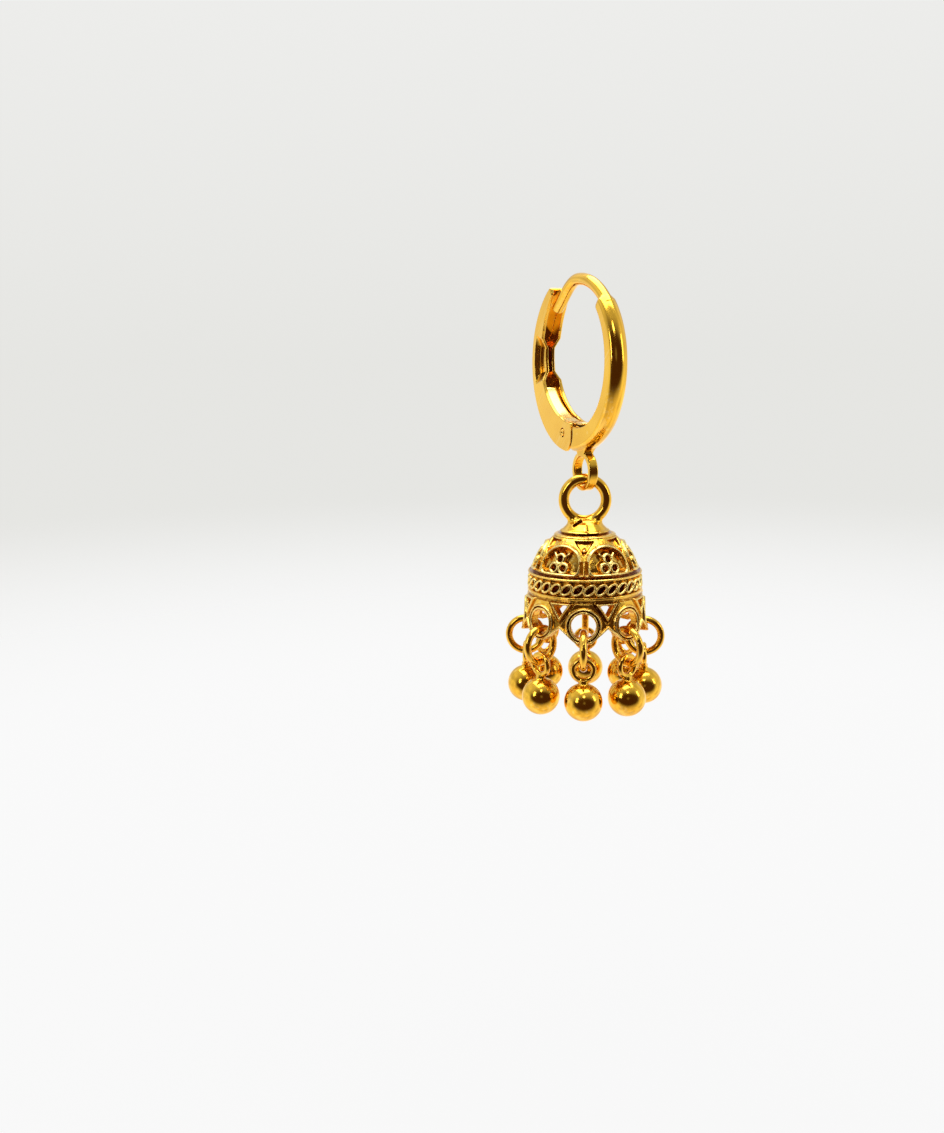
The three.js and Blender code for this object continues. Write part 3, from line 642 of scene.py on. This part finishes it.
# the bell, cast in one with its bail; its zones are stacked up from its lowest point
bell = {
    "yaw": -28, "wall": 0.48, "capRadius": 1.93, "capHeight": 0.5,
    "domeRadius": 4.15, "domeHeight": 3.0, "domeSwell": 3.5,
    "bandRadius": 4.6, "bandHeight": 1.83, "lineHeight": 0.2, "lineRise": 0.17,
    "skirtTop": 4.6, "skirtRadius": 4.95, "skirtHeight": 3.22,
    "relief": 0.2, "rim": 0.22,
    # bail sizes, and the painted shade on the bell's inside
    "bailWire": 0.86, "bailRadius": 1.67, "bailSink": 0.18, "innerShade": 0.25,
    "crownJoin": 0.11, "domeTuck": 0.03, "skirtTuck": 0.02, "skirtStart": 0.1,
    "outlineBelow": 0.5, "cavityBelow": 0.7, "joinLap": 0.01,
    # radius, and rise over the bell's top
    "capLine": [(0, 0.28), (1.0, 0.25), (1.35, 0.08), (1.52, -0.1), (1.64, -0.22), (1.77, -0.35),
                (1.86, -0.44)],
    # rise over the dome's top, half width and relief
    "neckLines": [(-0.1, 0.08, -0.1), (-0.26, 0.09, 0.08), (0.06, 0.09, 0.05)],
    # radius over the band's own, and drop below its top or rise over its bottom
    "bandUpper": [(-0.221, 0.22), (-0.119, 0.16), (-0.034, 0.22), (-0.0425, 0.32), (-0.238, 0.4)],
    "bandLower": [(-0.17, 0.3), (-0.04, 0.23), (0, 0.14), (-0.05, 0.03)],
    "wallBlend": 0.08, "cutBlend": 0.07, "floorBlend": 0.05, "bailBlend": 0.45,
    "cell": 0.06,
}
arches = {
    "count": 6, "half": 1.58, "height": 1.85, "straight": 0.45, "lift": 0.21, "corner": 0.4,
    "scroll": 0.46, "scrollHole": 0.22, "slotWidth": 0.27, "slotHeight": 1.0, "slotOffset": 0.21,
    "scrollLift": 0.8, "scrollStack": 1.45, "scrollSpread": 0.9,
    "hornStart": (0.28, 0.05), "hornEnd": (0.62, 0.38), "hornWire": 0.1, "hornBlend": 0.08,
    "spandrelHalf": 0.78, "spandrelHeight": 1.05, "spandrelDrop": 0.5, "beadDrop": 0.62, "bead": 0.14,
    "spandrelBlend": 0.06, "slotBlend": 0.05, "beadRelief": 0.9, "scrollRelief": 0.75,
    # recess and slot depths, then the painted shade on arch floors and scroll eyelets
    "recess": 0.28, "slotDepth": 0.45, "floorShade": 0.26, "eyeletShade": 0.6,
    "floorEase": (0, 0.08), "eyeletEase": (0, 0.06), "slotEase": (-0.02, 0.04),
}
rope = {
    "count": 31, "rise": 0.2, "slant": 38, "long": 0.5, "short": 0.3, "strand": 0.145,
    "pit": 0.22, "pitStart": 0.3, "pitEnd": 1.6, "field": 0.08, "drop": 0.08, "margin": 1.6, "fade": 0.12,
    # painted shade on the ground between strands and in the pits, then where the channel under the band's
    # top is shaded
    "groundShade": 0.2, "pitShade": 0.5, "channelDepth": (0.12, 0.2), "channelDrop": (0.3, 0.22),
}
lugs = {
    "count": 8, "hole": 0.95, "radius": 1.4, "rise": 1.3, "valley": 1.05, "slope": 0.8, "blend": 0.1,
    # window size, then the painted shade in the moats and their depth
    "windowHalf": 0.56, "windowHeight": 0.85, "windowDrop": 0.37, "moatShade": 0.45, "moatDepth": 0.13,
    # each rim or moat: how far its middle lies from the edge, and its half width; the window's in rims
    "holeRim": (0.11, 0.13), "holeRelief": 0.9, "lugRim": (-0.09, 0.1), "edgeRim": (-0.1, 0.11),
    "windowMoat": (1.4, 0.45), "holeMoat": (0.25, 0.05), "topMoat": (-0.12, 0.11),
}

bellBottom = cornersOf("bell")[0][2]
bandBottom = bellBottom + bell["skirtHeight"]
bandTop = bandBottom + bell["bandHeight"]
domeTop = bandTop + bell["domeHeight"]
bellTop = domeTop + bell["capHeight"]
bailZ = bellTop - bell["bailSink"] + bell["bailWire"] / 2 + bell["bailRadius"]
lugZ = bellBottom + lugs["rise"]


def domeLine(offset, steps=24):
    t = np.linspace(0, 1, steps + 1)[:, None]
    start = np.array([bell["capRadius"], domeTop])
    pull = np.array([bell["domeSwell"], domeTop - bell["domeHeight"] / 3])
    end = np.array([bell["domeRadius"], bandTop])
    line = (1 - t) ** 2 * start + 2 * t * (1 - t) * pull + t ** 2 * end
    run = 2 * (1 - t) * (pull - start) + 2 * t * (end - pull)
    run /= np.linalg.norm(run, axis=1)[:, None]
    return line + offset * np.stack([-run[:, 1], run[:, 0]], axis=1)


def bellOutline():
    radius, under = bell["bandRadius"], bellBottom - bell["outlineBelow"]
    cap = [(r, bellTop + rise) for r, rise in bell["capLine"]]
    dome = [tuple(p) for p in domeLine(0)]
    band = [(bell["domeRadius"] - bell["domeTuck"], bandTop - bell["lineHeight"])]
    band += [(radius + r, bandTop - drop) for r, drop in bell["bandUpper"]]
    band += [(radius + r, bandBottom + rise) for r, rise in bell["bandLower"]]
    skirt = [(bell["skirtTop"] - bell["skirtTuck"], bandBottom - bell["skirtTuck"]),
             (bell["skirtTop"], bandBottom - bell["skirtStart"]), (bell["skirtRadius"], bellBottom),
             (bell["skirtRadius"], under), (0, under)]
    return cap + dome + band + skirt


def bellCavity():
    wall, under = bell["wall"], bellBottom - bell["cavityBelow"]
    inside = [tuple(p) for p in domeLine(-wall)]
    return [(0, inside[0][1])] + inside + [
        (bell["bandRadius"] - bell["lineRise"] - wall, bandBottom),
        (bell["skirtRadius"] - wall, bellBottom), (bell["skirtRadius"] - wall, under), (0, under)]


outerLine = TurnedOutline(bellOutline())
innerLine = TurnedOutline(bellCavity())


def archParts(r, turn, z):
    u = r * np.sin(np.radians(foldTurn(turn, arches["count"], 180 / arches["count"])))
    s = r * np.sin(np.radians(foldTurn(turn, arches["count"], 0)))
    base = bandTop + arches["lift"]
    above = np.maximum(z - base - arches["straight"], 0)
    arch = ellipseDistance(u, above, arches["half"], arches["height"] - arches["straight"])
    arch = smoothMax(arch, base - z, arches["corner"])
    rim = ridge(arch - bell["rim"] / 2, bell["rim"] / 2)

    ringLine = (arches["scroll"] + arches["scrollHole"]) / 2
    ringHalf = (arches["scroll"] - arches["scrollHole"]) / 2
    low = base + arches["scrollLift"] * arches["scroll"]
    topZ = low + arches["scrollStack"] * arches["scroll"]
    fromLow = np.hypot(np.abs(u) - arches["scrollSpread"] * arches["scroll"], z - low)
    fromTop = np.hypot(u, z - topZ)
    scroll = np.abs(fromLow - ringLine) - ringHalf
    scroll = np.minimum(scroll, np.abs(fromTop - ringLine) - ringHalf)
    horn = capsuleDistance(np.abs(u), z - topZ, arches["hornStart"], arches["hornEnd"], arches["hornWire"])
    scroll = smoothMin(scroll, horn, arches["hornBlend"])
    opening = np.maximum(arch, -scroll)

    top = domeTop - arches["spandrelDrop"]
    beadZ = top - arches["beadDrop"]
    bead = np.hypot(s, z - beadZ) - arches["bead"]
    spandrel = triangleDistance(s, z, arches["spandrelHalf"], top, arches["spandrelHeight"])
    spandrel = smoothMax(np.maximum(spandrel, -bead), bell["rim"] - arch, arches["spandrelBlend"])
    slotHalf = arches["slotHeight"] / 2
    slotRise = np.abs(z - bandTop - arches["lift"] / 2 - slotHalf) - slotHalf
    slot = smoothMax(np.abs(np.abs(s) - arches["slotOffset"]) - arches["slotWidth"] / 2, slotRise,
                     arches["slotBlend"])
    opening = np.minimum(opening, spandrel)
    beadRidge = arches["beadRelief"] * ridge(bead + arches["bead"], arches["bead"])
    relief = bell["relief"] * np.maximum(rim, beadRidge)
    scrollRidge = arches["scrollRelief"] * bell["relief"] * ridge(scroll + ringHalf, ringHalf)
    relief = np.maximum(relief, scrollRidge)
    for rise, half, proud in bell["neckLines"]:
        relief = relief + proud * ridge(z - domeTop - rise, half)
    grooveRise, grooveHalf, _ = bell["neckLines"][0]
    neckGroove = ridge(z - domeTop - grooveRise, grooveHalf)
    # painted shade: arch floors, scroll eyelets, slots and the neck groove are marked darker
    eyelets = arches["scrollHole"] - np.minimum(fromLow, fromTop)
    paintedShade = (arches["floorShade"] * easeBetween(-opening, *arches["floorEase"])
             + arches["eyeletShade"] * easeBetween(eyelets, *arches["eyeletEase"]))
    paintedShade = np.maximum(paintedShade, np.maximum(easeBetween(-slot, *arches["slotEase"]), neckGroove))
    return opening, slot, relief, paintedShade


def ropeRelief(r, turn, z):
    pitch = 2 * math.pi * bell["bandRadius"] / rope["count"]
    across = bell["bandRadius"] * np.radians(foldTurn(turn, rope["count"], 180 / rope["count"]))
    rise = z - (bandTop + bandBottom) / 2 + rope["drop"]
    slant = math.radians(rope["slant"])
    strand, pit = 0, 0
    for shift in (-pitch, 0, pitch):
        u = (across - shift) * math.cos(slant) + rise * math.sin(slant)
        v = rise * math.cos(slant) - (across - shift) * math.sin(slant)
        away = ellipseDistance(u, v, rope["long"], rope["short"])
        strand = np.maximum(strand, ridge(away, rope["strand"]))
        pitEase = easeBetween(-away, rope["strand"] * rope["pitStart"], rope["strand"] * rope["pitEnd"])
        pit = np.maximum(pit, pitEase)
    margin = (bandTop - bandBottom) / 2 - rope["margin"] * bell["lineHeight"]
    inBand = easeBetween(margin - np.abs(rise), 0, rope["fade"])
    ground = rope["field"] * (1 - strand)
    relief = (rope["rise"] * strand - rope["pit"] * pit * (1 - strand) - ground) * inBand
    # painted shade between the strands, deeper in the pits, and in the channel below the band's top
    paintedShade = inBand * (1 - strand) * (rope["groundShade"] + rope["pitShade"] * pit)
    startDrop, endDrop = rope["channelDrop"]
    channel = (easeBetween(bell["bandRadius"] - r, *rope["channelDepth"])
               * easeBetween(z, bandTop - startDrop, bandTop - endDrop))
    return relief, np.maximum(paintedShade, channel)


def skirtParts(r, turn, z):
    lugU = r * np.sin(np.radians(foldTurn(turn, lugs["count"], 0)))
    v = np.abs(r * np.sin(np.radians(foldTurn(turn, lugs["count"], 180 / lugs["count"]))))
    fromLug = np.hypot(lugU, z - lugZ)
    solidLug = fromLug - lugs["radius"]
    peak = bellBottom + lugs["valley"]
    tent = (peak - lugs["slope"] * v - z) / math.hypot(1, lugs["slope"])
    edge = smoothMin(solidLug, tent, lugs["blend"])
    windowTop = bandBottom - lugs["windowDrop"]
    window = triangleDistance(v, z, lugs["windowHalf"], windowTop, lugs["windowHeight"])
    opening = np.minimum(-edge, np.minimum(fromLug - lugs["hole"], window))
    rim = bell["rim"]

    def line(distance, key):
        middle, half = lugs[key]
        return ridge(distance - middle, half)

    relief = line(fromLug - lugs["hole"], "holeRim") * lugs["holeRelief"]
    relief = np.maximum(relief, line(solidLug, "lugRim"))
    relief = np.maximum(relief, line(edge, "edgeRim"))
    relief = np.maximum(relief, ridge(window - rim / 2, rim / 2))
    relief = bell["relief"] * relief
    moat = line(window / rim, "windowMoat")
    moat = np.maximum(moat, line(fromLug - lugs["hole"], "holeMoat"))
    moat = np.maximum(moat, line(z - bandBottom, "topMoat"))
    # the moats are sunk and also carry painted shade
    relief = relief - lugs["moatDepth"] * moat
    return opening, relief, moat * lugs["moatShade"]


# the bail's wire is lapped over at its foot
bail = {
    "lapStart": (-0.85, -1.93), "lapEnd": (-0.3, -1.62), "lapWidth": 0.09,
    "lapDepth": 0.2, "lapBlend": 0.06,
}


def bailField(x, y, z):
    return np.hypot(np.hypot(x, z - bailZ) - bell["bailRadius"], y) - bell["bailWire"] / 2


def shellField(outside, inside, cut):
    return smoothMax(smoothMax(outside, -inside, bell["wallBlend"]), -cut, bell["cutBlend"])


def domeField(x, y, z):
    r, turn = np.hypot(x, y), np.degrees(np.arctan2(x, -y))
    opening, slot, relief, _ = archParts(r, turn, z)
    outside = outerLine.distance(r, z)
    sunk = smoothMax(opening, -outside - arches["recess"], bell["floorBlend"])
    sunk = np.minimum(sunk, smoothMax(slot, -outside - arches["slotDepth"], bell["floorBlend"]))
    body = shellField(outside - relief, innerLine.distance(r, z), sunk)
    body = np.maximum(body, bandTop - bell["joinLap"] - z)
    body = smoothMin(body, bailField(x, y, z), bell["bailBlend"])
    lap = capsuleDistance(x, z - bailZ, bail["lapStart"], bail["lapEnd"], bail["lapWidth"])
    return smoothMax(body, -np.maximum(lap, y + bail["lapDepth"]), bail["lapBlend"])


def domeBelow(x, y, z):
    return np.maximum(domeField(x, y, z), z - domeTop + bell["crownJoin"])


def crownField(x, y, z):
    return np.maximum(domeField(x, y, z), domeTop - bell["crownJoin"] - z)


def bandField(x, y, z):
    r, turn = np.hypot(x, y), np.degrees(np.arctan2(x, -y))
    outside = outerLine.distance(r, z) - ropeRelief(r, turn, z)[0]
    body = smoothMax(outside, -innerLine.distance(r, z), bell["wallBlend"])
    lap = bell["joinLap"]
    return np.maximum(body, np.maximum(bandBottom - lap - z, z - bandTop - lap))


def skirtField(x, y, z):
    r, turn = np.hypot(x, y), np.degrees(np.arctan2(x, -y))
    opening, relief, _ = skirtParts(r, turn, z)
    body = shellField(outerLine.distance(r, z) - relief, innerLine.distance(r, z), opening)
    return np.maximum(body, np.maximum(z - bandBottom - bell["joinLap"], bellBottom - z))


# fade of the painted shade onto the bell's inside, and the painted highlight along the relief with its
# share per piece
marks = {
    "innerEase": (0.1, 0.02), "crestEase": (0.04, 0.15),
    "crestShares": {"bellCrown": 0.6, "bellDome": 1, "bellBand": 0.9, "bellSkirt": 0.4},
}


# marks per point: painted shade in recesses and on the bell's inside, painted highlight on the relief
def markTones(shape, parts):
    x, y, z = shape["points"].T
    r, turn = np.hypot(x, y), np.degrees(np.arctan2(x, -y))
    *_, relief, paintedShade = parts(r, turn, z)
    inner = easeBetween(innerLine.distance(r, z), *marks["innerEase"])
    shape["paintedShade"] = np.clip(paintedShade * (1 - inner) + bell["innerShade"] * inner, 0, 1)
    # painted highlight on the raised relief, none on the inside
    share = marks["crestShares"][shape["name"]]
    shape["crest"] = share * easeBetween(relief, *marks["crestEase"]) * (1 - inner)


bellReach = bell["skirtRadius"] + bell["relief"] + margin
crownTop = bailZ + bell["bailRadius"] + bell["bailWire"] / 2
for pieceName, pieceField, parts, pieceLow, pieceHigh, gold in (
        ("bellCrown", crownField, archParts, domeTop - bell["crownJoin"], crownTop, polishedGold),
        ("bellDome", domeBelow, archParts, bandTop, domeTop, castGold),
        ("bellBand", bandField, ropeRelief, bandBottom, bandTop, castGold),
        ("bellSkirt", skirtField, skirtParts, bellBottom, bandBottom, castGold)):
    shape = netMesh(pieceName, pieceField, (-bellReach, -bellReach, pieceLow - margin),
                    (bellReach, bellReach, pieceHigh + margin), bell["cell"])
    markTones(shape, parts)
    dress(makePiece(shape, bell["yaw"]), "pendant", "cast_gold", gold, "bell")
    print(pieceName, "done", len(shape["quads"]), "quads")

# jump rings with a closed joint, and the ball drops
links = {
    "wire": 0.57, "radius": 1.365, "jointTurn": 25, "steps": 96, "sides": 28,
    "seamDepth": 0.12, "seamHalf": 1.6, "lipRise": 0.02, "lipHalf": 6, "lugProud": 0.15,
}
drops = {
    "ball": 1.5, "loopWire": 0.45, "loopRadius": 0.8, "neck": 0.34, "neckHalf": 0.2, "neckGap": 0.04,
    "fillet": 0.16, "margin": 0.1, "cell": 0.07,
}


def linkShape():
    turn = 2 * np.pi * np.arange(links["steps"]) / links["steps"]
    away = np.degrees((turn - math.radians(links["jointTurn"]) + np.pi) % (2 * np.pi) - np.pi)
    bulge = (1 - links["seamDepth"] * np.exp(-(away / links["seamHalf"]) ** 2)
             + links["lipRise"] * np.exp(-(away / links["lipHalf"]) ** 2))
    side = 2 * np.pi * np.arange(links["sides"]) / links["sides"]
    wire = links["wire"] / 2 * bulge[:, None]
    reach = links["radius"] + wire * np.cos(side)[None, :]
    rings = np.stack([wire * np.sin(side)[None, :] + 0 * reach,
                      -reach * np.cos(turn)[:, None], reach * np.sin(turn)[:, None]], axis=-1)
    return sweptShape("jumpRing", rings)


def dropField(x, y, z):
    ball = np.sqrt(x * x + y * y + z * z) - drops["ball"]
    top = drops["ball"] + drops["neckGap"] + drops["loopWire"] / 2
    fromLoop = np.hypot(x, z - top - drops["loopRadius"]) - drops["loopRadius"]
    loop = np.hypot(fromLoop, y) - drops["loopWire"] / 2
    neckRise = np.abs(z - top + drops["neckHalf"]) - drops["neckHalf"]
    neck = np.maximum(np.hypot(x, y) - drops["neck"], neckRise)
    shape = smoothMin(ball, loop, drops["fillet"])
    return smoothMin(shape, neck, drops["fillet"])


ringShape = linkShape()
reach = bell["skirtRadius"] + (links["lugProud"] - bell["wall"]) / 2      # the middle of the lug's wall
dropSide = drops["ball"] + drops["margin"]
dropTop = 2 * (drops["loopRadius"] + drops["loopWire"]) + dropSide
dropShape = netMesh("ballDrop", dropField, 3 * (-dropSide,), (dropSide, dropSide, dropTop), drops["cell"])
for index in range(lugs["count"]):
    number = index + 1
    turn = bell["yaw"] + 360 * index / lugs["count"]
    low, high = cornersOf(f"jump_ring_{number}")
    hang = (reach * math.sin(math.radians(turn)), -reach * math.cos(math.radians(turn)))
    ring = makePiece(ringShape, turn, (*hang, (low[2] + high[2]) / 2), f"jumpRing{number}")
    dress(ring, "pendant", "polished_gold", polishedGold, f"jump_ring_{number}")
    low, high = cornersOf(f"ball_drop_{number}")
    drop = makePiece(dropShape, turn, (*hang, low[2] + drops["ball"]), f"ballDrop{number}")
    dress(drop, "pendant", "polished_gold", polishedGold, f"ball_drop_{number}")
print("rings and drops done")

# studio: floor, backdrop tone, lights and camera
studio = {
    "floorDrop": 60, "floorRadius": 420, "floorSteps": 24, "floorSides": 96,
    "fadeStart": 110, "fadeEnd": 400,
    "floorBase": (0.02, 0.02, 0.02), "floorRough": 0.9, "floorTone": 0.885,
    "backdropLow": (0.79, 0.79, 0.765), "backdropHigh": (0.85, 0.85, 0.835), "backdropRise": 0.3,
    "camera": (-38.56, -75.28, -5.27), "heading": 20.97, "dip": 11.14, "roll": -1.0,
    "lens": 33.87, "sensor": 36, "clip": (0.005, 5),
}
# the unseen room that the gold mirrors: brightness from below to above, a dark patch towards the
# camera and a lighter spot in its middle
room = {
    "stops": [(0.0, 1.05), (0.3, 1.12), (0.5, 1.02), (0.6, 0.7), (0.75, 0.8), (1.0, 0.75)], "warmth": 0.3,
    "scale": 2.2, "detail": 2, "noise": (0.35, 0.65), "levels": (0.75, 1.2),
    "patch": (0.06, 0.025, 0.009), "patchFlat": 2.7, "patchRise": 0.05, "patchEdge": (88, 56),
    "spotEdge": (9, 3), "spotShare": -0.3,
}
# place, aim, width, height and brightness
softboxes = {
    "overhead": ((10, 50, 170), (10, 50, -15), 190, 210, 3.9),
    "frontWindow": ((-50, -130, 120), (0, 0, -20), 26, 34, 7.0),
    "leftWindow": ((-170, -70, 45), (0, 0, -15), 40, 80, 3.6),
    "rightWindow": ((130, -110, 40), (0, 0, -15), 26, 80, 3.6),
}


def cameraAim():
    heading, dip = math.radians(studio["heading"]), math.radians(studio["dip"])
    return math.sin(heading) * math.cos(dip), math.cos(heading) * math.cos(dip), -math.sin(dip)


def makeFloor():
    steps, sides = studio["floorSteps"], studio["floorSides"]
    floorZ = studio["camera"][2] - studio["floorDrop"]
    verts, faces = [(0, 0, floorZ)], []
    for i in range(1, steps + 1):
        for j in range(sides):
            turn = 2 * math.pi * j / sides
            reach = studio["floorRadius"] * i / steps
            verts.append((reach * math.cos(turn), reach * math.sin(turn), floorZ))
    for j in range(sides):
        faces.append((0, 1 + j, 1 + (j + 1) % sides))
    for i in range(steps - 1):
        for j in range(sides):
            a, b = 1 + i * sides + j, 1 + i * sides + (j + 1) % sides
            faces.append((a, a + sides, b + sides, b))
    mesh = bpy.data.meshes.new("studioFloor")
    mesh.from_pydata([tuple(c * mm for c in v) for v in verts], [], faces)
    floor = bpy.data.objects.new("studioFloor", mesh)
    bpy.context.scene.collection.objects.link(floor)
    material = bpy.data.materials.new("paleFloor")
    material.use_nodes = True
    tree = material.node_tree
    shader = tree.nodes["Principled BSDF"]
    shader.inputs["Base Color"].default_value = (*studio["floorBase"], 1)
    shader.inputs["Roughness"].default_value = studio["floorRough"]
    shader.inputs["Emission Color"].default_value = (1, 1, 1, 1)
    shader.inputs["Emission Strength"].default_value = studio["floorTone"]
    link = tree.links.new
    place = addNode(tree, "ShaderNodeTexCoord")
    flat = addNode(tree, "ShaderNodeVectorMath", operation="MULTIPLY")
    flat.inputs[1].default_value = (1, 1, 0)
    link(place.outputs["Object"], flat.inputs[0])
    reach = addNode(tree, "ShaderNodeVectorMath", operation="LENGTH")
    link(flat.outputs["Vector"], reach.inputs[0])
    span = (studio["fadeStart"] * mm, studio["fadeEnd"] * mm)
    fade = rangeNode(tree, reach.outputs["Value"], span, (1, 0), interpolation_type="SMOOTHSTEP")
    link(fade, shader.inputs["Alpha"])
    mesh.materials.append(material)
    floor.visible_glossy = False                   # the room below lights the gold instead


def makeWorld():
    world = bpy.data.worlds.new("softStudio")
    bpy.context.scene.world = world
    world.use_nodes = True
    tree = world.node_tree
    link = tree.links.new
    background = tree.nodes["Background"]
    direction = addNode(tree, "ShaderNodeTexCoord")
    split = addNode(tree, "ShaderNodeSeparateXYZ")
    link(direction.outputs["Generated"], split.inputs[0])

    seen = addNode(tree, "ShaderNodeMix", data_type="RGBA")
    seen.inputs["A"].default_value = (*studio["backdropLow"], 1)
    seen.inputs["B"].default_value = (*studio["backdropHigh"], 1)
    link(rangeNode(tree, split.outputs["Z"], (0, studio["backdropRise"])), seen.inputs["Factor"])

    ramp = addNode(tree, "ShaderNodeValToRGB")
    link(rangeNode(tree, split.outputs["Z"], (-1, 1)), ramp.inputs["Fac"])
    elements = ramp.color_ramp.elements
    while len(elements) < len(room["stops"]):
        elements.new(0.5)
    for element, (at, level) in zip(elements, room["stops"]):
        element.position = at
        warm = 1 - max(0, 0.5 - at) * room["warmth"]       # the room is warmer below the horizon
        element.color = (level, level * warm, level * warm * warm, 1)

    def nearness(aim, tall, start, end):
        flat = addNode(tree, "ShaderNodeVectorMath", operation="MULTIPLY")
        flat.inputs[1].default_value = (1, 1, tall)
        link(direction.outputs["Generated"], flat.inputs[0])
        unit = addNode(tree, "ShaderNodeVectorMath", operation="NORMALIZE")
        link(flat.outputs["Vector"], unit.inputs[0])
        towards = addNode(tree, "ShaderNodeVectorMath", operation="DOT_PRODUCT")
        towards.inputs[1].default_value = aim
        link(unit.outputs["Vector"], towards.inputs[0])
        span = (math.cos(math.radians(start)), math.cos(math.radians(end)))
        return rangeNode(tree, towards.outputs["Value"], span, interpolation_type="SMOOTHSTEP")

    x, y, z = cameraAim()
    flatLength = math.hypot(x, y)
    aside = (-x / flatLength, -y / flatLength, room["patchRise"])
    dark = nearness(aside, room["patchFlat"], *room["patchEdge"])
    spot = nearness((-x, -y, -z), 1, *room["spotEdge"])
    mirrored = addNode(tree, "ShaderNodeMix", data_type="RGBA")
    mirrored.inputs["B"].default_value = (*room["patch"], 1)
    link(mathNode(tree, "MULTIPLY_ADD", spot, room["spotShare"], dark), mirrored.inputs["Factor"])
    clutter = noiseNode(tree, direction.outputs["Generated"], room["scale"], room["detail"])
    walls = addNode(tree, "ShaderNodeVectorMath", operation="SCALE")
    link(ramp.outputs["Color"], walls.inputs[0])
    link(rangeNode(tree, clutter, room["noise"], room["levels"]), walls.inputs["Scale"])
    link(walls.outputs["Vector"], mirrored.inputs["A"])

    path = addNode(tree, "ShaderNodeLightPath")
    final = addNode(tree, "ShaderNodeMix", data_type="RGBA")
    link(path.outputs["Is Camera Ray"], final.inputs["Factor"])
    link(mirrored.outputs["Result"], final.inputs["A"])
    link(seen.outputs["Result"], final.inputs["B"])
    link(final.outputs["Result"], background.inputs["Color"])


def softbox(name, place, target, width, height, radiance):
    light = bpy.data.lights.new(name, "AREA")
    light.shape = "RECTANGLE"
    light.size, light.size_y = width * mm, height * mm
    light.energy = radiance * math.pi * width * height * mm * mm
    lamp = bpy.data.objects.new(name, light)
    bpy.context.scene.collection.objects.link(lamp)
    lamp.location = Vector(place) * mm
    aim = Vector(target) - Vector(place)
    lamp.rotation_euler = aim.to_track_quat("-Z", "Y").to_euler()
    lamp.visible_camera = False


def makeCamera():
    data = bpy.data.cameras.new("photoCamera")
    data.lens = studio["lens"]
    data.sensor_width = studio["sensor"]
    data.clip_start, data.clip_end = studio["clip"]
    camera = bpy.data.objects.new("photoCamera", data)
    bpy.context.scene.collection.objects.link(camera)
    camera.location = Vector(studio["camera"]) * mm
    roll = Quaternion((0, 0, 1), math.radians(studio["roll"]))
    camera.rotation_mode = "QUATERNION"
    camera.rotation_quaternion = Vector(cameraAim()).to_track_quat("-Z", "Y") @ roll
    bpy.context.scene.camera = camera


makeFloor()
makeWorld()
for boxName, setting in softboxes.items():
    softbox(boxName, *setting)
makeCamera()
bpy.context.scene.view_settings.view_transform = "Standard"
print("studio done")
